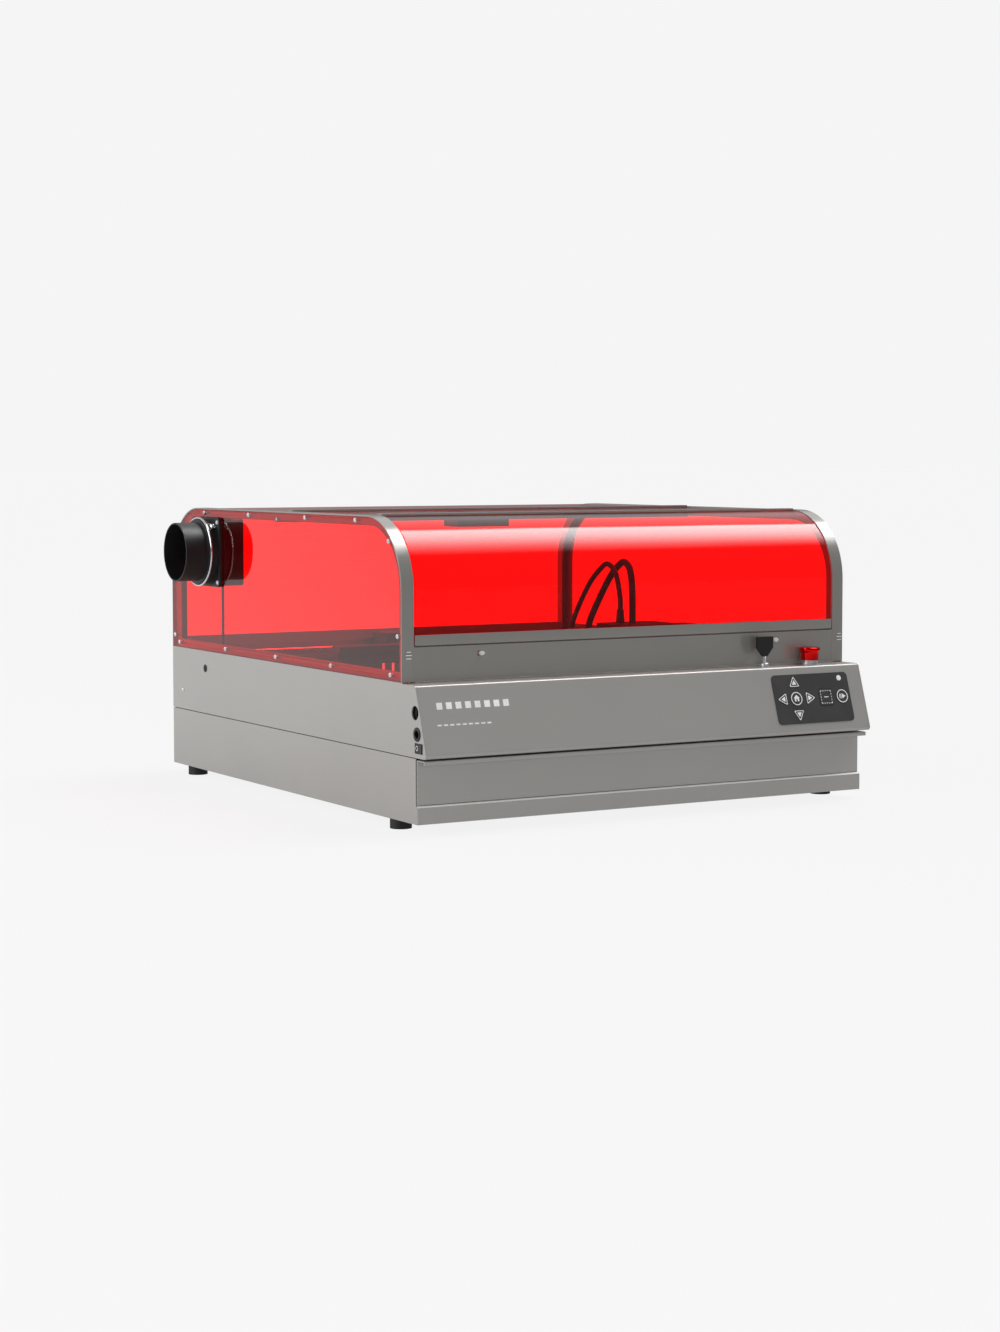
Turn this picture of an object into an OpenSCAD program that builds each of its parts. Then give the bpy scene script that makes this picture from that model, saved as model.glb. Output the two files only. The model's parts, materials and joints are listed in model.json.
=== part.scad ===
// Enclosed desktop laser engraver: sheet-metal base with a sloped console, a hood of red
// acrylic on two arched side frames, a hinged front lid, a pull-out work tray, a belt-driven
// gantry with a laser head, and an exhaust fan with a duct collar on the left side.
// +X is the machine's right, +Y its rear, +Z up. The origin is the centre of the bounding
// box, on the surface that the feet stand on.

/* [Enclosure] */
// Width across the side panels
case_w = 575; // [560:1:600]
// Depth from the front face of the base to the rear
case_d = 640; // [630:1:660]
// Height of the top of the side frames
case_top = 329; // [315:1:345]
// Height of the base's side panels, where the windows begin
sill_z = 156; // [154:1:160]
// Outer radius of the rounded corners of the hood
hood_r = 78.5; // [60:0.5:90]
// Distance from the base's front face back to the hood's front face
setback = 32; // [30:1:36]
// Thickness of the sheet metal
sheet = 1.5; // [1.2:0.1:2]
// Thickness of the acrylic
acrylic = 3; // [2:0.5:4]
// Width of the side frames, across the machine
frame_w = 14.8; // [12:0.2:18]

/* [Base] */
// Height of the rubber feet
foot_h = 10.5; // [8:0.5:14]
// Radius of the rubber feet
foot_r = 11.7; // [10:0.1:14]
// Height of the strip under the drawer, from the floor to its top edge
strip_top = 29.8; // [28:0.2:32]
// Height of the joint between the lower case and the side panels
seam_z = 79.5; // [78:0.5:81]

/* [Console] */
// How far the console's foot stands out in front of the base
console_reach = 21; // [18:1:24]
// Lean of the console's face from upright, in degrees
console_tilt = 18.3; // [15:0.1:20]
// Height of the console's ledge
ledge_z = 155; // [153:0.5:157]
// Centre of the keypad across the machine
keypad_x = 214.4; // [200:0.2:220]
// Width of the keypad
keypad_w = 105.8; // [100:0.2:110]
// Height of the keypad along the slope
keypad_h = 57; // [54:0.5:60]

/* [Lid] */
// Distance of the hinge axis behind the base's front face
hinge_y = 336; // [320:1:345]
// Height of the hinge axis
hinge_z = 320; // [318:0.5:322]
// Height of the lid's front rail
rail_h = 11; // [9:0.5:14]
// Height of the lower edge of the lid's front rail
rail_z = 194; // [190:1:200]

/* [Drawer] */
// Height of the drawer front's top edge
drawer_top = 78; // [76:0.5:78]
// How far the pull lip stands out
lip_reach = 15; // [12:1:18]
// Height of the top of the work bed
bed_z = 58; // [54:1:62]

/* [Motion] */
// Place of the laser head across the machine
head_x = 104; // [90:1:110]
// Place of the gantry beam's front face, from front to back
beam_y = 226; // [220:1:240]
// Distance of the Y rails from the middle of the machine
rail_x = 252; // [250:1:254]
// Pitch radius of the timing pulleys
pulley_r = 6.4; // [6.4:0.1:6.8]

/* [Exhaust] */
// Place of the duct's axis, from front to back
duct_y = 529; // [515:1:535]
// Height of the duct's axis
duct_z = 277; // [270:1:280]
// Outer radius of the duct collar
duct_r = 35; // [33:0.5:37]
// How far the collar stands out from the side
duct_reach = 43; // [40:1:60]

/* [Hidden] */
half_w = case_w / 2;
seam_gap = 0.8;
panel_z = seam_z + seam_gap;            // lower edge of the side panels and the console
hood_top_c = case_top - hood_r;         // height of the hood corners' centres
screw_r = 1.5;
screw_head_r = 2.75;
screw_head_h = 1.6;
window_inset = sheet + 0.3;             // acrylic sits inside the frame's rim
window_out = half_w - 0.3;              // outer face of the side windows
window_in = window_out - acrylic;
frame_in = half_w - frame_w;            // inner edge of the side frames
slack = 0.35;                           // gap between pieces that move past each other
running = 0.05;                         // radial clearance of a shaft in its bore

ledge_r = 3;                            // bend between the ledge and the console's face
console_foot_r = 4;                     // bend at the console's foot
console_up = [sin(console_tilt), cos(console_tilt)];
console_out = [-cos(console_tilt), sin(console_tilt)];
console_foot_c = [console_foot_r - console_reach, panel_z + console_foot_r];
console_len = (ledge_z - ledge_r - console_foot_c[1]
    - (console_foot_r - ledge_r) * console_out[1]) / console_up[1];
console_top_c = console_foot_c + (console_foot_r - ledge_r) * console_out
    + console_len * console_up;
console_edge = console_top_c + ledge_r * console_out;   // top edge of the sloped face
console_out_a = 180 - console_tilt;     // direction that the sloped face looks in

tray_x = 268;
tray_back = 590;
deck_z = 136;                           // top of the deck plate
deck_open_x = 241;
deck_open_front = 46;
deck_open_back = 596;
rail_size = 20;
y_rail_front = 52;
y_rail_back = 590;
plate_z = deck_z + rail_size;           // top of the Y rails
plate_top = plate_z + 4;
beam_size = 20;
beam_half = rail_x + 10;
plate_back = beam_y + beam_size + 9;     // the gantry plates end short of the X motor
y_pulley_z = 148;
y_pulley_x = rail_x + 17;
y_shaft_y = 604;
y_idler_y = 64;
belt_w = 6;
belt_t = 1.3;
shaft_r = 2.5;
x_pulley_x = 222;
x_pulley_z = plate_top + beam_size / 2;
x_belt_y = beam_y + beam_size + 1;
motor_w = 35;

module_w = 76;
module_d = 62;
module_front = beam_y - 76;
module_low = 103;
module_top = 197;
arm_z = plate_top + beam_size + 0.5;    // underside of the arm over the beam
arm_back = beam_y + 66;

key_x = 166.5;
stop_x = 229.5;
ledge_mid = 17;
icon_x = 191.4;                         // middle of the home key
icon_down = 35;                         // its distance down the slope
icon_step = 18.8;                       // from the home key to each arrow key
frame_x = 232.7;
play_x = 255.4;
round_key_r = 8.2;
key_low = -0.6;                         // underside of a key, from the console's face
key_t = 1.8;
key_shaft_r = 2;
rocker_tip = 6;

hinge_pin_r = 2;
bar_low = hinge_z - 3.5;                // underside of the bars along the hinge
lid_gap = 1.1;                          // from the lid's rail to the arch beside it
lid_half = frame_in - lid_gap - 0.3;
cover_front = hinge_y + 10.7;             // front edge of the fixed rear cover
strip_y = [112, hinge_y - 3];            // middles of the strips across the lid
plug_hole_r = 3.75;

// screws of a side window, as distance from the front and height
window_screw_at = [
    [137, 323.5], [261, 323.5], [412, 323.5], [539, 323.5],
    [60, 303], [612, 303], [40.5, 204], [631.5, 171],
    [57, 162.5], [198, 162.5], [340, 162.5], [480, 162.5], [618, 162.5]];
side_screw_at = [608, 104];
plug_at = [540, 135];
usb_at = [2.6, 127];
usb_r = 7.5;
inlet_at = [-2, 105];
inlet_r = 7.5;
rocker_at = [-5.2, 90.5];
rocker_half = [7.9, 5.1];               // half of the rocker's length and height
rocker_pin_in = 4.5;                    // from the side's face in to the rocker's pin
rocker_pin_r = 1.2;

// cable routes of the laser head, from the head's top to the clip behind the beam
thin_cable_r = 2.3;
thick_cable_r = 3.2;
thin_route = [
    [91, 200, 212], [91, 200, 224], [91, 205, 243], [91, 213, 258], [89, 226, 265],
    [88, 240, 258], [85, 257, 242], [81, 273, 217], [77, 283, 194], [76, 284, 184.5]];
thick_route = [
    [108, 200, 197], [108, 200, 223], [110, 205, 246], [111, 212, 261], [110, 222, 267],
    [109, 231, 263], [106, 242, 252], [104, 257, 233], [100, 277, 201], [99, 284, 184.5]];
fan_cable_r = 1.5;

bed_slots = 20;
bed_blade = 2;                          // thickness of a slat
blade_count = 7;
vent_count = 14;

centre_x = (screw_head_h - duct_reach) / 2;
centre_y = (case_d - console_reach) / 2;

panel_grey = [0.62, 0.61, 0.59];
frame_grey = [0.45, 0.46, 0.44];
dark_grey = [0.22, 0.22, 0.22];
black = [0.06, 0.06, 0.06];
red_acrylic = [0.95, 0.05, 0.05, 0.6];
steel = [0.75, 0.75, 0.76];

// ---- shared helpers ----

// everything is laid out about the machine's middle and its front face, then moved here
module at_origin() translate([-centre_x, -centre_y, 0]) children();

// points of a circular arc in the plane of a side profile
function arc(c, r, a0, a1, n = 24) =
    [for (i = [0:n]) let (a = a0 + (a1 - a0) * i / n) [c[0] + r * cos(a), c[1] + r * sin(a)]];
function backwards(list) = [for (i = [len(list) - 1:-1:0]) list[i]];

// a profile given as distance back and height, drawn out across the machine
module across(x0, x1) translate([x0, 0, 0]) rotate([90, 0, 90]) linear_extrude(x1 - x0) children();
module block(x, y, z) translate([x[0], y[0], z[0]]) cube([x[1] - x[0], y[1] - y[0], z[1] - z[0]]);
module rod_x(x0, x1, y, z, r)
    translate([x0, y, z]) rotate([0, 90, 0]) cylinder(h = x1 - x0, r = r, $fn = 48);
module rod_y(x, y0, y1, z, r)
    translate([x, y1, z]) rotate([90, 0, 0]) cylinder(h = y1 - y0, r = r, $fn = 48);
module rod_z(x, y, z0, z1, r)
    translate([x, y, z0]) cylinder(h = z1 - z0, r = r, $fn = 48);
module both_sides() {
    children();
    mirror([1, 0, 0]) children();
}

// the hood's outline, a distance inside the outermost one, open at the bottom
function hood_path(inset, low) = concat(
    [[setback + inset, low]],
    arc([setback + hood_r, hood_top_c], hood_r - inset, 180, 90),
    arc([case_d - hood_r, hood_top_c], hood_r - inset, 90, 0),
    [[case_d - inset, low]]);

// front part of the hood, from a height at the front to a distance along the top
function lid_path(inset, low, back) = concat(
    [[setback + inset, low]],
    arc([setback + hood_r, hood_top_c], hood_r - inset, 180, 90),
    [[back, case_top - inset]]);
function cover_path(inset, low, front) = concat(
    [[front, case_top - inset]],
    arc([case_d - hood_r, hood_top_c], hood_r - inset, 90, 0),
    [[case_d - inset, low]]);

// the console's outline from the ledge round the sloped face to its foot
function console_path(inset) = concat(
    [[setback, ledge_z - inset]],
    arc(console_top_c, ledge_r - inset, 90, console_out_a, 8),
    arc(console_foot_c, console_foot_r - inset, console_out_a, 270, 8),
    [[0.6, panel_z + inset]]);

// local frame on the sloped face: +Z out of it, +Y up it, from the top edge downwards
module on_console(x, down, lift = 0)
    translate([x, console_edge[0], console_edge[1]])
        rotate([90 - console_tilt, 0, 0]) translate([0, -down, lift]) children();

module rounded_plate(w, h, r, t) linear_extrude(t) polygon(concat(
    arc([w / 2 - r, h / 2 - r], r, 0, 90, 6), arc([r - w / 2, h / 2 - r], r, 90, 180, 6),
    arc([r - w / 2, r - h / 2], r, 180, 270, 6), arc([w / 2 - r, r - h / 2], r, 270, 360, 6)));

// a triangle with rounded corners, pointing along +Y
module rounded_triangle(size, r, t, grow = 0) linear_extrude(t) polygon([
    for (k = [0:2]) for (p = arc([(size - r) * cos(90 + 120 * k), (size - r) * sin(90 + 120 * k)],
        r + grow, 30 + 120 * k, 150 + 120 * k, 5)) p]);

// ---- base ----

module lower_case() color(panel_grey) at_origin() {
    difference() {
        block([-half_w, half_w], [0.3, case_d], [foot_h, seam_z]);
        block([sheet - half_w, half_w - sheet], [-1, case_d - sheet], [foot_h + sheet, seam_z + 1]);
        block([-half_w - 1, half_w + 1], [-1, 2], [strip_top, seam_z + 1]);
    }
    // front strip with its folded top edge
    block([-half_w, half_w], [-1.2, 0.3], [foot_h, strip_top]);
    block([sheet - half_w, half_w - sheet], [0.3, 10], [strip_top - sheet, strip_top]);
}

module side_panel_shape() across(half_w - sheet, half_w) polygon(concat(
    [[case_d, panel_z], [case_d, sill_z], [setback, sill_z]], console_path(0)));

module side_screw_holes() rod_x(half_w - 4, half_w + 1,
    side_screw_at[0], side_screw_at[1], screw_r);

module side_panel_right() color(panel_grey) at_origin() difference() {
    side_panel_shape();
    side_screw_holes();
}

module side_panel_left() color(panel_grey) at_origin() mirror([1, 0, 0]) difference() {
    side_panel_shape();
    side_screw_holes();
    rod_x(half_w - 4, half_w + 1, plug_at[0], plug_at[1], plug_hole_r);
    rod_x(half_w - 4, half_w + 1, usb_at[0], usb_at[1], usb_r);
    rod_x(half_w - 4, half_w + 1, inlet_at[0], inlet_at[1], inlet_r);
    rocker_room(half_w - 4, half_w + 1, 0.8, 0.4);
}
// a block round the power rocker, larger than it by a length and a height each way
module rocker_room(x0, x1, more_long, more_high) block([x0, x1],
    [rocker_at[0] - rocker_half[0] - more_long, rocker_at[0] + rocker_half[0] + more_long],
    [rocker_at[1] - rocker_half[1] - more_high, rocker_at[1] + rocker_half[1] + more_high]);

// rear wall of the base, with an upstand behind the acrylic and a row of vents
module rear_panel() color(panel_grey) at_origin() difference() {
    union() {
        block([sheet - half_w, half_w - sheet], [case_d - sheet, case_d], [panel_z, sill_z]);
        block([-frame_in, frame_in], [case_d - acrylic - 3, case_d - sheet], [sill_z - sheet, sill_z]);
        block([-frame_in, frame_in], [case_d - acrylic - 3, case_d - acrylic - sheet],
            [sill_z, sill_z + 12]);
    }
    for (i = [0:vent_count - 1])
        translate([(i - (vent_count - 1) / 2) * 14, 0, 0])
            block([-2, 2], [case_d - sheet - 1, case_d + 1], [98, 126]);
}

module console_shell() color(panel_grey) at_origin() difference() {
    across(sheet - half_w, half_w - sheet)
        polygon(concat(console_path(0), backwards(console_path(sheet))));
    on_console(keypad_x, 7 + keypad_h / 2, -4)
        translate([-keypad_w / 2 + 1.5, -keypad_h / 2 + 1.5, 0]) cube([keypad_w - 3, keypad_h - 3, 8]);
    rod_z(key_x, ledge_mid, ledge_z - 4, ledge_z + 1, 5);
    rod_z(stop_x, ledge_mid, ledge_z - 4, ledge_z + 1, 7);
}

// upright panel under the lid, with two slots for the lid's catches
module front_panel() color(frame_grey) at_origin() difference() {
    union() {
        block([-frame_in, frame_in], [setback, setback + sheet], [ledge_z, rail_z - 1.4]);
        block([-frame_in, frame_in], [setback - 3, setback], [ledge_z, ledge_z + 1.2]);
        block([-frame_in, frame_in], [setback + sheet, setback + 14], [rail_z - 1.4 - sheet, rail_z - 1.4]);
        // lip behind the lid's rail, which closes off the gap under it
        block([-frame_in, frame_in], [setback + 6.8, setback + 8.3], [rail_z - 1.4, rail_z + 3]);
    }
    for (side = [-1, 1])
        translate([side * 192, 0, 183.6])
            block([-4.2, 4.2], [setback - 1, setback + sheet + 1], [-2.5, 2.5]);
}

// deck round the work opening, with flanges turned down into the chamber
module deck_plate() color(dark_grey) at_origin() difference() {
    union() {
        block([sheet - half_w, half_w - sheet], [36, case_d - sheet], [deck_z - sheet, deck_z]);
        block([-deck_open_x - sheet, deck_open_x + sheet],
            [deck_open_front - sheet, deck_open_back + sheet], [panel_z + 2, deck_z]);
    }
    block([-deck_open_x, deck_open_x], [deck_open_front, deck_open_back], [panel_z, deck_z + 1]);
    block([-motor_w / 2 - 1, motor_w / 2 + 1],
        [y_shaft_y - motor_w / 2 - 1, y_shaft_y + motor_w / 2 + 1], [panel_z, deck_z + 1]);
}

module feet() color(black) at_origin() both_sides() for (y = [56.5, 591.8]) {
    rod_z(half_w - foot_r, y, 0, foot_h, foot_r);
}

module camera_module() color(black) at_origin() difference() {
    block([-35, 35], [cover_front + 16, cover_front + 52], [case_top - 22, case_top - 0.8 - acrylic]);
    rod_z(0, cover_front + 34, case_top - 23, case_top - 18, 5);
}

// ---- hood frames and windows ----

module arch_shape(rear_band) difference() {
    union() {
        // rim, as wide as the frame
        across(frame_in, half_w) polygon(concat(hood_path(0, sill_z),
            backwards(hood_path(sheet, sill_z))));
        // web behind the acrylic
        difference() {
            across(window_in - sheet, window_in) polygon(hood_path(sheet, sill_z));
            across(frame_in, half_w) polygon([
                [setback + 10.5, sill_z + 10.5],
                [setback + 10.5, hood_top_c],
                for (p = arc([setback + hood_r, hood_top_c], hood_r - 10.5, 180, 90)) p,
                for (p = arc([case_d - rear_band - hood_r + 10.5, hood_top_c], hood_r - 10.5, 90, 0)) p,
                [case_d - rear_band, sill_z + 10.5]]);
        }
    }
    for (p = window_screw_at) rod_x(frame_in, half_w, p[0], p[1], screw_r);
    rod_x(frame_in, half_w, hinge_y, hinge_z, hinge_pin_r);
}
module arch_right() color(frame_grey) at_origin() arch_shape(20);
module arch_left() color(frame_grey) at_origin() mirror([1, 0, 0]) arch_shape(20);

module window_shape() difference() {
    across(window_in, window_out) polygon(hood_path(window_inset, sill_z));
    for (p = window_screw_at) rod_x(window_in - 1, window_out + 1, p[0], p[1], screw_r);
    rod_x(window_in - 1, window_out + 1, hinge_y, hinge_z, hinge_pin_r);
}
module window_right() color(red_acrylic) at_origin() window_shape();
module window_left() color(red_acrylic) at_origin() mirror([1, 0, 0]) difference() {
    window_shape();
    rod_x(window_in - 1, window_out + 1, duct_y, duct_z, duct_r + 3);
    for (sy = [-1, 1], sz = [-1, 1])
        rod_x(window_in - 1, window_out + 1, duct_y + sy * 35.75, duct_z + sz * 35.75, screw_r);
}

// fixed acrylic over the back of the hood, bent down to the base
module rear_cover() color(red_acrylic) at_origin()
    across(-frame_in + 0.4, frame_in - 0.4) polygon(concat(cover_path(0.8, sill_z + 1, cover_front),
        backwards(cover_path(0.8 + acrylic, sill_z + 1, cover_front))));

module screw_x(y, z, length) {
    rod_x(window_out, window_out + screw_head_h, y, z, screw_head_r);
    rod_x(window_out - length, window_out, y, z, screw_r);
}
module casing_screws() color(steel) at_origin() {
    both_sides() {
        for (p = window_screw_at) screw_x(p[0], p[1], acrylic + sheet);
        translate([0.3, 0, 0]) screw_x(side_screw_at[0], side_screw_at[1], 3);
    }
    mirror([1, 0, 0]) for (sy = [-1, 1], sz = [-1, 1])
        translate([3.8, 0, 0]) screw_x(duct_y + sy * 35.75, duct_z + sz * 35.75, 10);
}

// fixed bar that carries the rear cover's front edge, from one side frame to the other
module hinge_bar() color(frame_grey) at_origin() difference() {
    block([-window_in + sheet, window_in - sheet],
        [cover_front + 1, cover_front + 15], [bar_low, case_top - 0.8 - acrylic]);
    block([-window_in, window_in],
        [cover_front + 1 + sheet, cover_front + 16], [bar_low - 1, case_top - 0.8 - acrylic - sheet]);
}
module hinge_pins() color(steel) at_origin() both_sides()
    rod_x(frame_in - 14, window_out, hinge_y, hinge_z, hinge_pin_r);

// ---- drawer ----

module drawer_front() color(frame_grey) at_origin() {
    block([1.2 - half_w, half_w - 1.2], [0, sheet], [strip_top + 0.6, drawer_top]);
    // pull lip
    block([1.2 - half_w, half_w - 1.2], [-lip_reach, 0], [drawer_top - sheet, drawer_top]);
    block([1.2 - half_w, half_w - 1.2], [-lip_reach, sheet - lip_reach],
        [drawer_top - 4.4, drawer_top - sheet]);
}
module drawer_tray() color(dark_grey) at_origin() difference() {
    union() {
        block([-tray_x, tray_x], [sheet, tray_back], [33, 76]);
        // edges that slide in the runners
        both_sides() block([tray_x, tray_x + 8], [12, tray_back], [52, 54]);
    }
    block([sheet - tray_x, tray_x - sheet], [sheet - 1, tray_back - sheet], [33 + sheet, 77]);
}
// bed of slats on the tray's floor
module work_bed() color(steel) at_origin() difference() {
    block([-tray_x + 6, tray_x - 6], [10, tray_back - 10], [33 + sheet, bed_z]);
    for (i = [0:bed_slots - 1])
        translate([0, 22 + i * (tray_back - 44) / bed_slots, 0])
            block([-tray_x + 16, tray_x - 16],
                [0, (tray_back - 44) / bed_slots - bed_blade], [33 + sheet + 1.2, bed_z + 1]);
}
module drawer_runners() color(steel) at_origin() both_sides() difference() {
    block([tray_x + 3, half_w - sheet], [12, tray_back + 30], [48, 58]);
    block([tray_x + 2, half_w - sheet - 1.2], [11, tray_back + 31], [52 - slack, 54 + slack]);
}

// ---- lid ----

module lid_cover() color(red_acrylic) at_origin()
    across(-lid_half, lid_half) polygon(concat(lid_path(0.8, rail_z + 3, hinge_y + 6),
        backwards(lid_path(0.8 + acrylic, rail_z + 3, hinge_y + 6))));
module lid_rail() color(frame_grey) at_origin() difference() {
    block([lid_gap - frame_in, frame_in - lid_gap], [setback - 0.2, setback + 6],
        [rail_z, rail_z + rail_h]);
    block([-frame_in + 1, frame_in - 1],
        [setback + 0.8, setback + 0.8 + acrylic], [rail_z + 3, rail_z + rail_h + 1]);
}
module lid_hinge_bar() color(frame_grey) at_origin() difference() {
    block([-frame_in + 2.2, frame_in - 2.2],
        [hinge_y - 12, hinge_y + 7], [bar_low, case_top - 0.8 - acrylic]);
    both_sides() rod_x(frame_in - 16, frame_in, hinge_y, hinge_z, hinge_pin_r + running);
}
module lid_strips() color(dark_grey) at_origin() for (y = strip_y)
    block([-lid_half, lid_half], [y - 6, y + 6], [case_top - 0.8, case_top + 1.6]);

// ---- Y motion ----

module y_rails() color(steel) at_origin() both_sides() difference() {
    block([rail_x - 10, rail_x + 10], [y_rail_front, y_rail_back], [deck_z, plate_z]);
    for (side = [-1, 1]) translate([rail_x + side * 10, 0, deck_z + 10])
        block([-5, 5], [y_rail_front - 1, y_rail_back + 1], [-3, 3]);
    translate([rail_x, 0, plate_z])
        block([-3, 3], [y_rail_front - 1, y_rail_back + 1], [-5, 1]);
}
module y_motor() color(dark_grey) at_origin() difference() {
    union() {
        block([-17, 17], [y_shaft_y - motor_w / 2, y_shaft_y + motor_w / 2],
            [y_pulley_z - motor_w / 2, y_pulley_z + motor_w / 2]);
        block([-28, 28], [y_shaft_y + motor_w / 2 - 3, y_shaft_y + motor_w / 2], [deck_z, y_pulley_z + 10]);
    }
    rod_x(-29, 29, y_shaft_y, y_pulley_z, shaft_r + running);
}
module shaft_supports() color(frame_grey) at_origin() both_sides() {
    difference() {
        block([rail_x - 4, rail_x + 6], [y_shaft_y - 10, y_shaft_y + 10], [deck_z, y_pulley_z + 9]);
        rod_x(rail_x - 5, rail_x + 7, y_shaft_y, y_pulley_z, shaft_r + running);
    }
    // brackets and pins of the front idlers
    block([y_pulley_x + 5, y_pulley_x + 9], [y_idler_y - 8, y_idler_y + 8], [deck_z, y_pulley_z + 6]);
    rod_x(y_pulley_x - 5, y_pulley_x + 5, y_idler_y, y_pulley_z, 2);
}
// a timing pulley with flanges, its axis along X
module pulley(bore) rotate([0, 90, 0]) difference() {
    union() {
        cylinder(h = belt_w + 0.8, r = pulley_r, center = true, $fn = 48);
        for (side = [-1, 1]) translate([0, 0, side * (belt_w / 2 + 0.8)])
            cylinder(h = 0.8, r = pulley_r + 2, center = true, $fn = 48);
    }
    if (bore > 0) cylinder(h = belt_w + 4, r = bore, center = true, $fn = 48);
}
module y_shaft() color(steel) at_origin() {
    rod_x(-y_pulley_x - 5, y_pulley_x + 5, y_shaft_y, y_pulley_z, shaft_r);
    both_sides() translate([y_pulley_x, y_shaft_y, y_pulley_z]) pulley(0);
}
module y_idlers() color(steel) at_origin() both_sides()
    translate([y_pulley_x, y_idler_y, y_pulley_z]) pulley(2 + running);

// a closed belt round two pulleys, in its own plane, its runs along the first axis
module belt_loop(length) linear_extrude(belt_w, center = true) difference() {
    polygon(concat(arc([0, 0], pulley_r + slack + belt_t, 90, 270, 12),
        arc([length, 0], pulley_r + slack + belt_t, -90, 90, 12)));
    polygon(concat(arc([0, 0], pulley_r + slack, 90, 270, 12),
        arc([length, 0], pulley_r + slack, -90, 90, 12)));
}
module y_belts() color(black) at_origin() both_sides()
    translate([y_pulley_x, y_idler_y, y_pulley_z]) rotate([90, 0, 90])
        belt_loop(y_shaft_y - y_idler_y);

// ---- gantry ----

module gantry_plates() color(dark_grey) at_origin() both_sides() {
    block([rail_x - 16, rail_x + 24], [beam_y - 10, plate_back], [plate_z + slack, plate_top]);
    // lips that hold the rail from both sides
    for (x = [rail_x - 13.4, rail_x + 10.4])
        block([x, x + 3], [beam_y - 10, plate_back], [plate_z - 8, plate_z + slack]);
}
module x_beam() color(frame_grey) at_origin() {
    difference() {
        block([-beam_half, beam_half], [beam_y, beam_y + beam_size], [plate_top, plate_top + beam_size]);
        block([-beam_half - 1, beam_half + 1], [beam_y - 1, beam_y + 5], [x_pulley_z - 3, x_pulley_z + 3]);
    }
    rod_y(-x_pulley_x, beam_y + beam_size, x_belt_y + belt_w + 2, x_pulley_z, 2);
}
module x_belt() color(black) at_origin()
    translate([-x_pulley_x, x_belt_y + belt_w / 2 + 1, x_pulley_z]) rotate([90, 0, 0])
        belt_loop(2 * x_pulley_x);
module x_pulley() color(steel) at_origin() {
    translate([x_pulley_x, x_belt_y + belt_w / 2 + 1, x_pulley_z]) rotate([0, 0, 90]) pulley(0);
    rod_y(x_pulley_x, x_belt_y + belt_w + 2, x_belt_y + 18, x_pulley_z, shaft_r);
}
module x_idler() color(steel) at_origin()
    translate([-x_pulley_x, x_belt_y + belt_w / 2 + 1, x_pulley_z]) rotate([0, 0, 90])
        pulley(2 + running);
module x_motor() color(dark_grey) at_origin() difference() {
    union() {
        block([x_pulley_x - motor_w / 2, x_pulley_x + motor_w / 2],
            [x_belt_y + 10, x_belt_y + 38], [x_pulley_z - motor_w / 2, x_pulley_z + motor_w / 2]);
        block([x_pulley_x - motor_w / 2, x_pulley_x + motor_w / 2],
            [beam_y + 4, x_belt_y + 10], [plate_top + beam_size, plate_top + beam_size + sheet]);
    }
    rod_y(x_pulley_x, x_belt_y + 9, x_belt_y + 20, x_pulley_z, shaft_r + running);
}

// ---- laser head ----

// carriage that wraps the beam, with the arm that carries the cable clip
module head_carriage() color(dark_grey) at_origin() {
    block([head_x - 34, head_x + 34], [beam_y - 12, beam_y - slack],
        [plate_top + 1, arm_z]);
    block([head_x - 34, head_x + 2], [beam_y - 12, arm_back], [arm_z, arm_z + 3]);
    difference() {
        block([head_x - 34, head_x + 2], [arm_back - 14, arm_back], [arm_z + 3, arm_z + 5.5]);
        rod_z(76, 284, arm_z + 2, arm_z + 7, thin_cable_r);
        rod_z(99, 284, arm_z + 2, arm_z + 7, thick_cable_r);
    }
    // tab that grips the belt
    block([head_x - 8, head_x + 2], [x_belt_y + 1, x_belt_y + belt_w + 1], [arm_z - 2, arm_z]);
}
// laser module: finned body, top cap and the nozzle with its bore
module laser_module() color(black) at_origin() difference() {
    union() {
        block([head_x - module_w / 2, head_x + module_w / 2],
            [module_front, module_front + module_d], [module_low, module_top]);
        block([head_x - 20, head_x + 20], [module_front + module_d, beam_y - 12],
            [plate_top + 2, plate_top + 18]);
        rod_z(head_x, module_front + 31, 88, module_low, 11);
    }
    for (i = [-5:5]) translate([head_x + i * 6.4, 0, 0])
        block([-1.6, 1.6], [module_front - 1, module_front + 5], [118, 186]);
    rod_z(head_x, module_front + 31, 87, 110, 4);
}

// a smooth tube along a route: a Catmull-Rom curve, swept with eight-sided rings
function spline_at(p, i, t) = let (
        a = p[max(i - 1, 0)], b = p[i], c = p[i + 1], d = p[min(i + 2, len(p) - 1)])
    0.5 * ((2 * b) + (c - a) * t + (2 * a - 5 * b + 4 * c - d) * t * t
        + (3 * b - a - 3 * c + d) * t * t * t);
function spline(p, steps) = concat(
    [for (i = [0:len(p) - 2], k = [0:steps - 1]) spline_at(p, i, k / steps)], [p[len(p) - 1]]);
function unit(v) = v / norm(v);
function heading(q, i) = unit(q[min(i + 1, len(q) - 1)] - q[max(i - 1, 0)]);
module tube(route, r, steps = 2, sides = 8) {
    q = spline(route, steps);
    rings = len(q);
    points = [for (i = [0:rings - 1], k = [0:sides - 1]) let (
            h = heading(q, i),
            across_dir = unit(cross(h, cross([1, 0, 0], h))),
            other = cross(h, across_dir),
            a = 360 * k / sides)
        q[i] + r * (cos(a) * across_dir + sin(a) * other)];
    polyhedron(points, concat(
        [[for (k = [0:sides - 1]) k]],
        [for (i = [0:rings - 2], k = [0:sides - 1])
            [i * sides + k, (i + 1) * sides + k,
                (i + 1) * sides + (k + 1) % sides, i * sides + (k + 1) % sides]],
        [[for (k = [sides - 1:-1:0]) (rings - 1) * sides + k]]));
}
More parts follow.
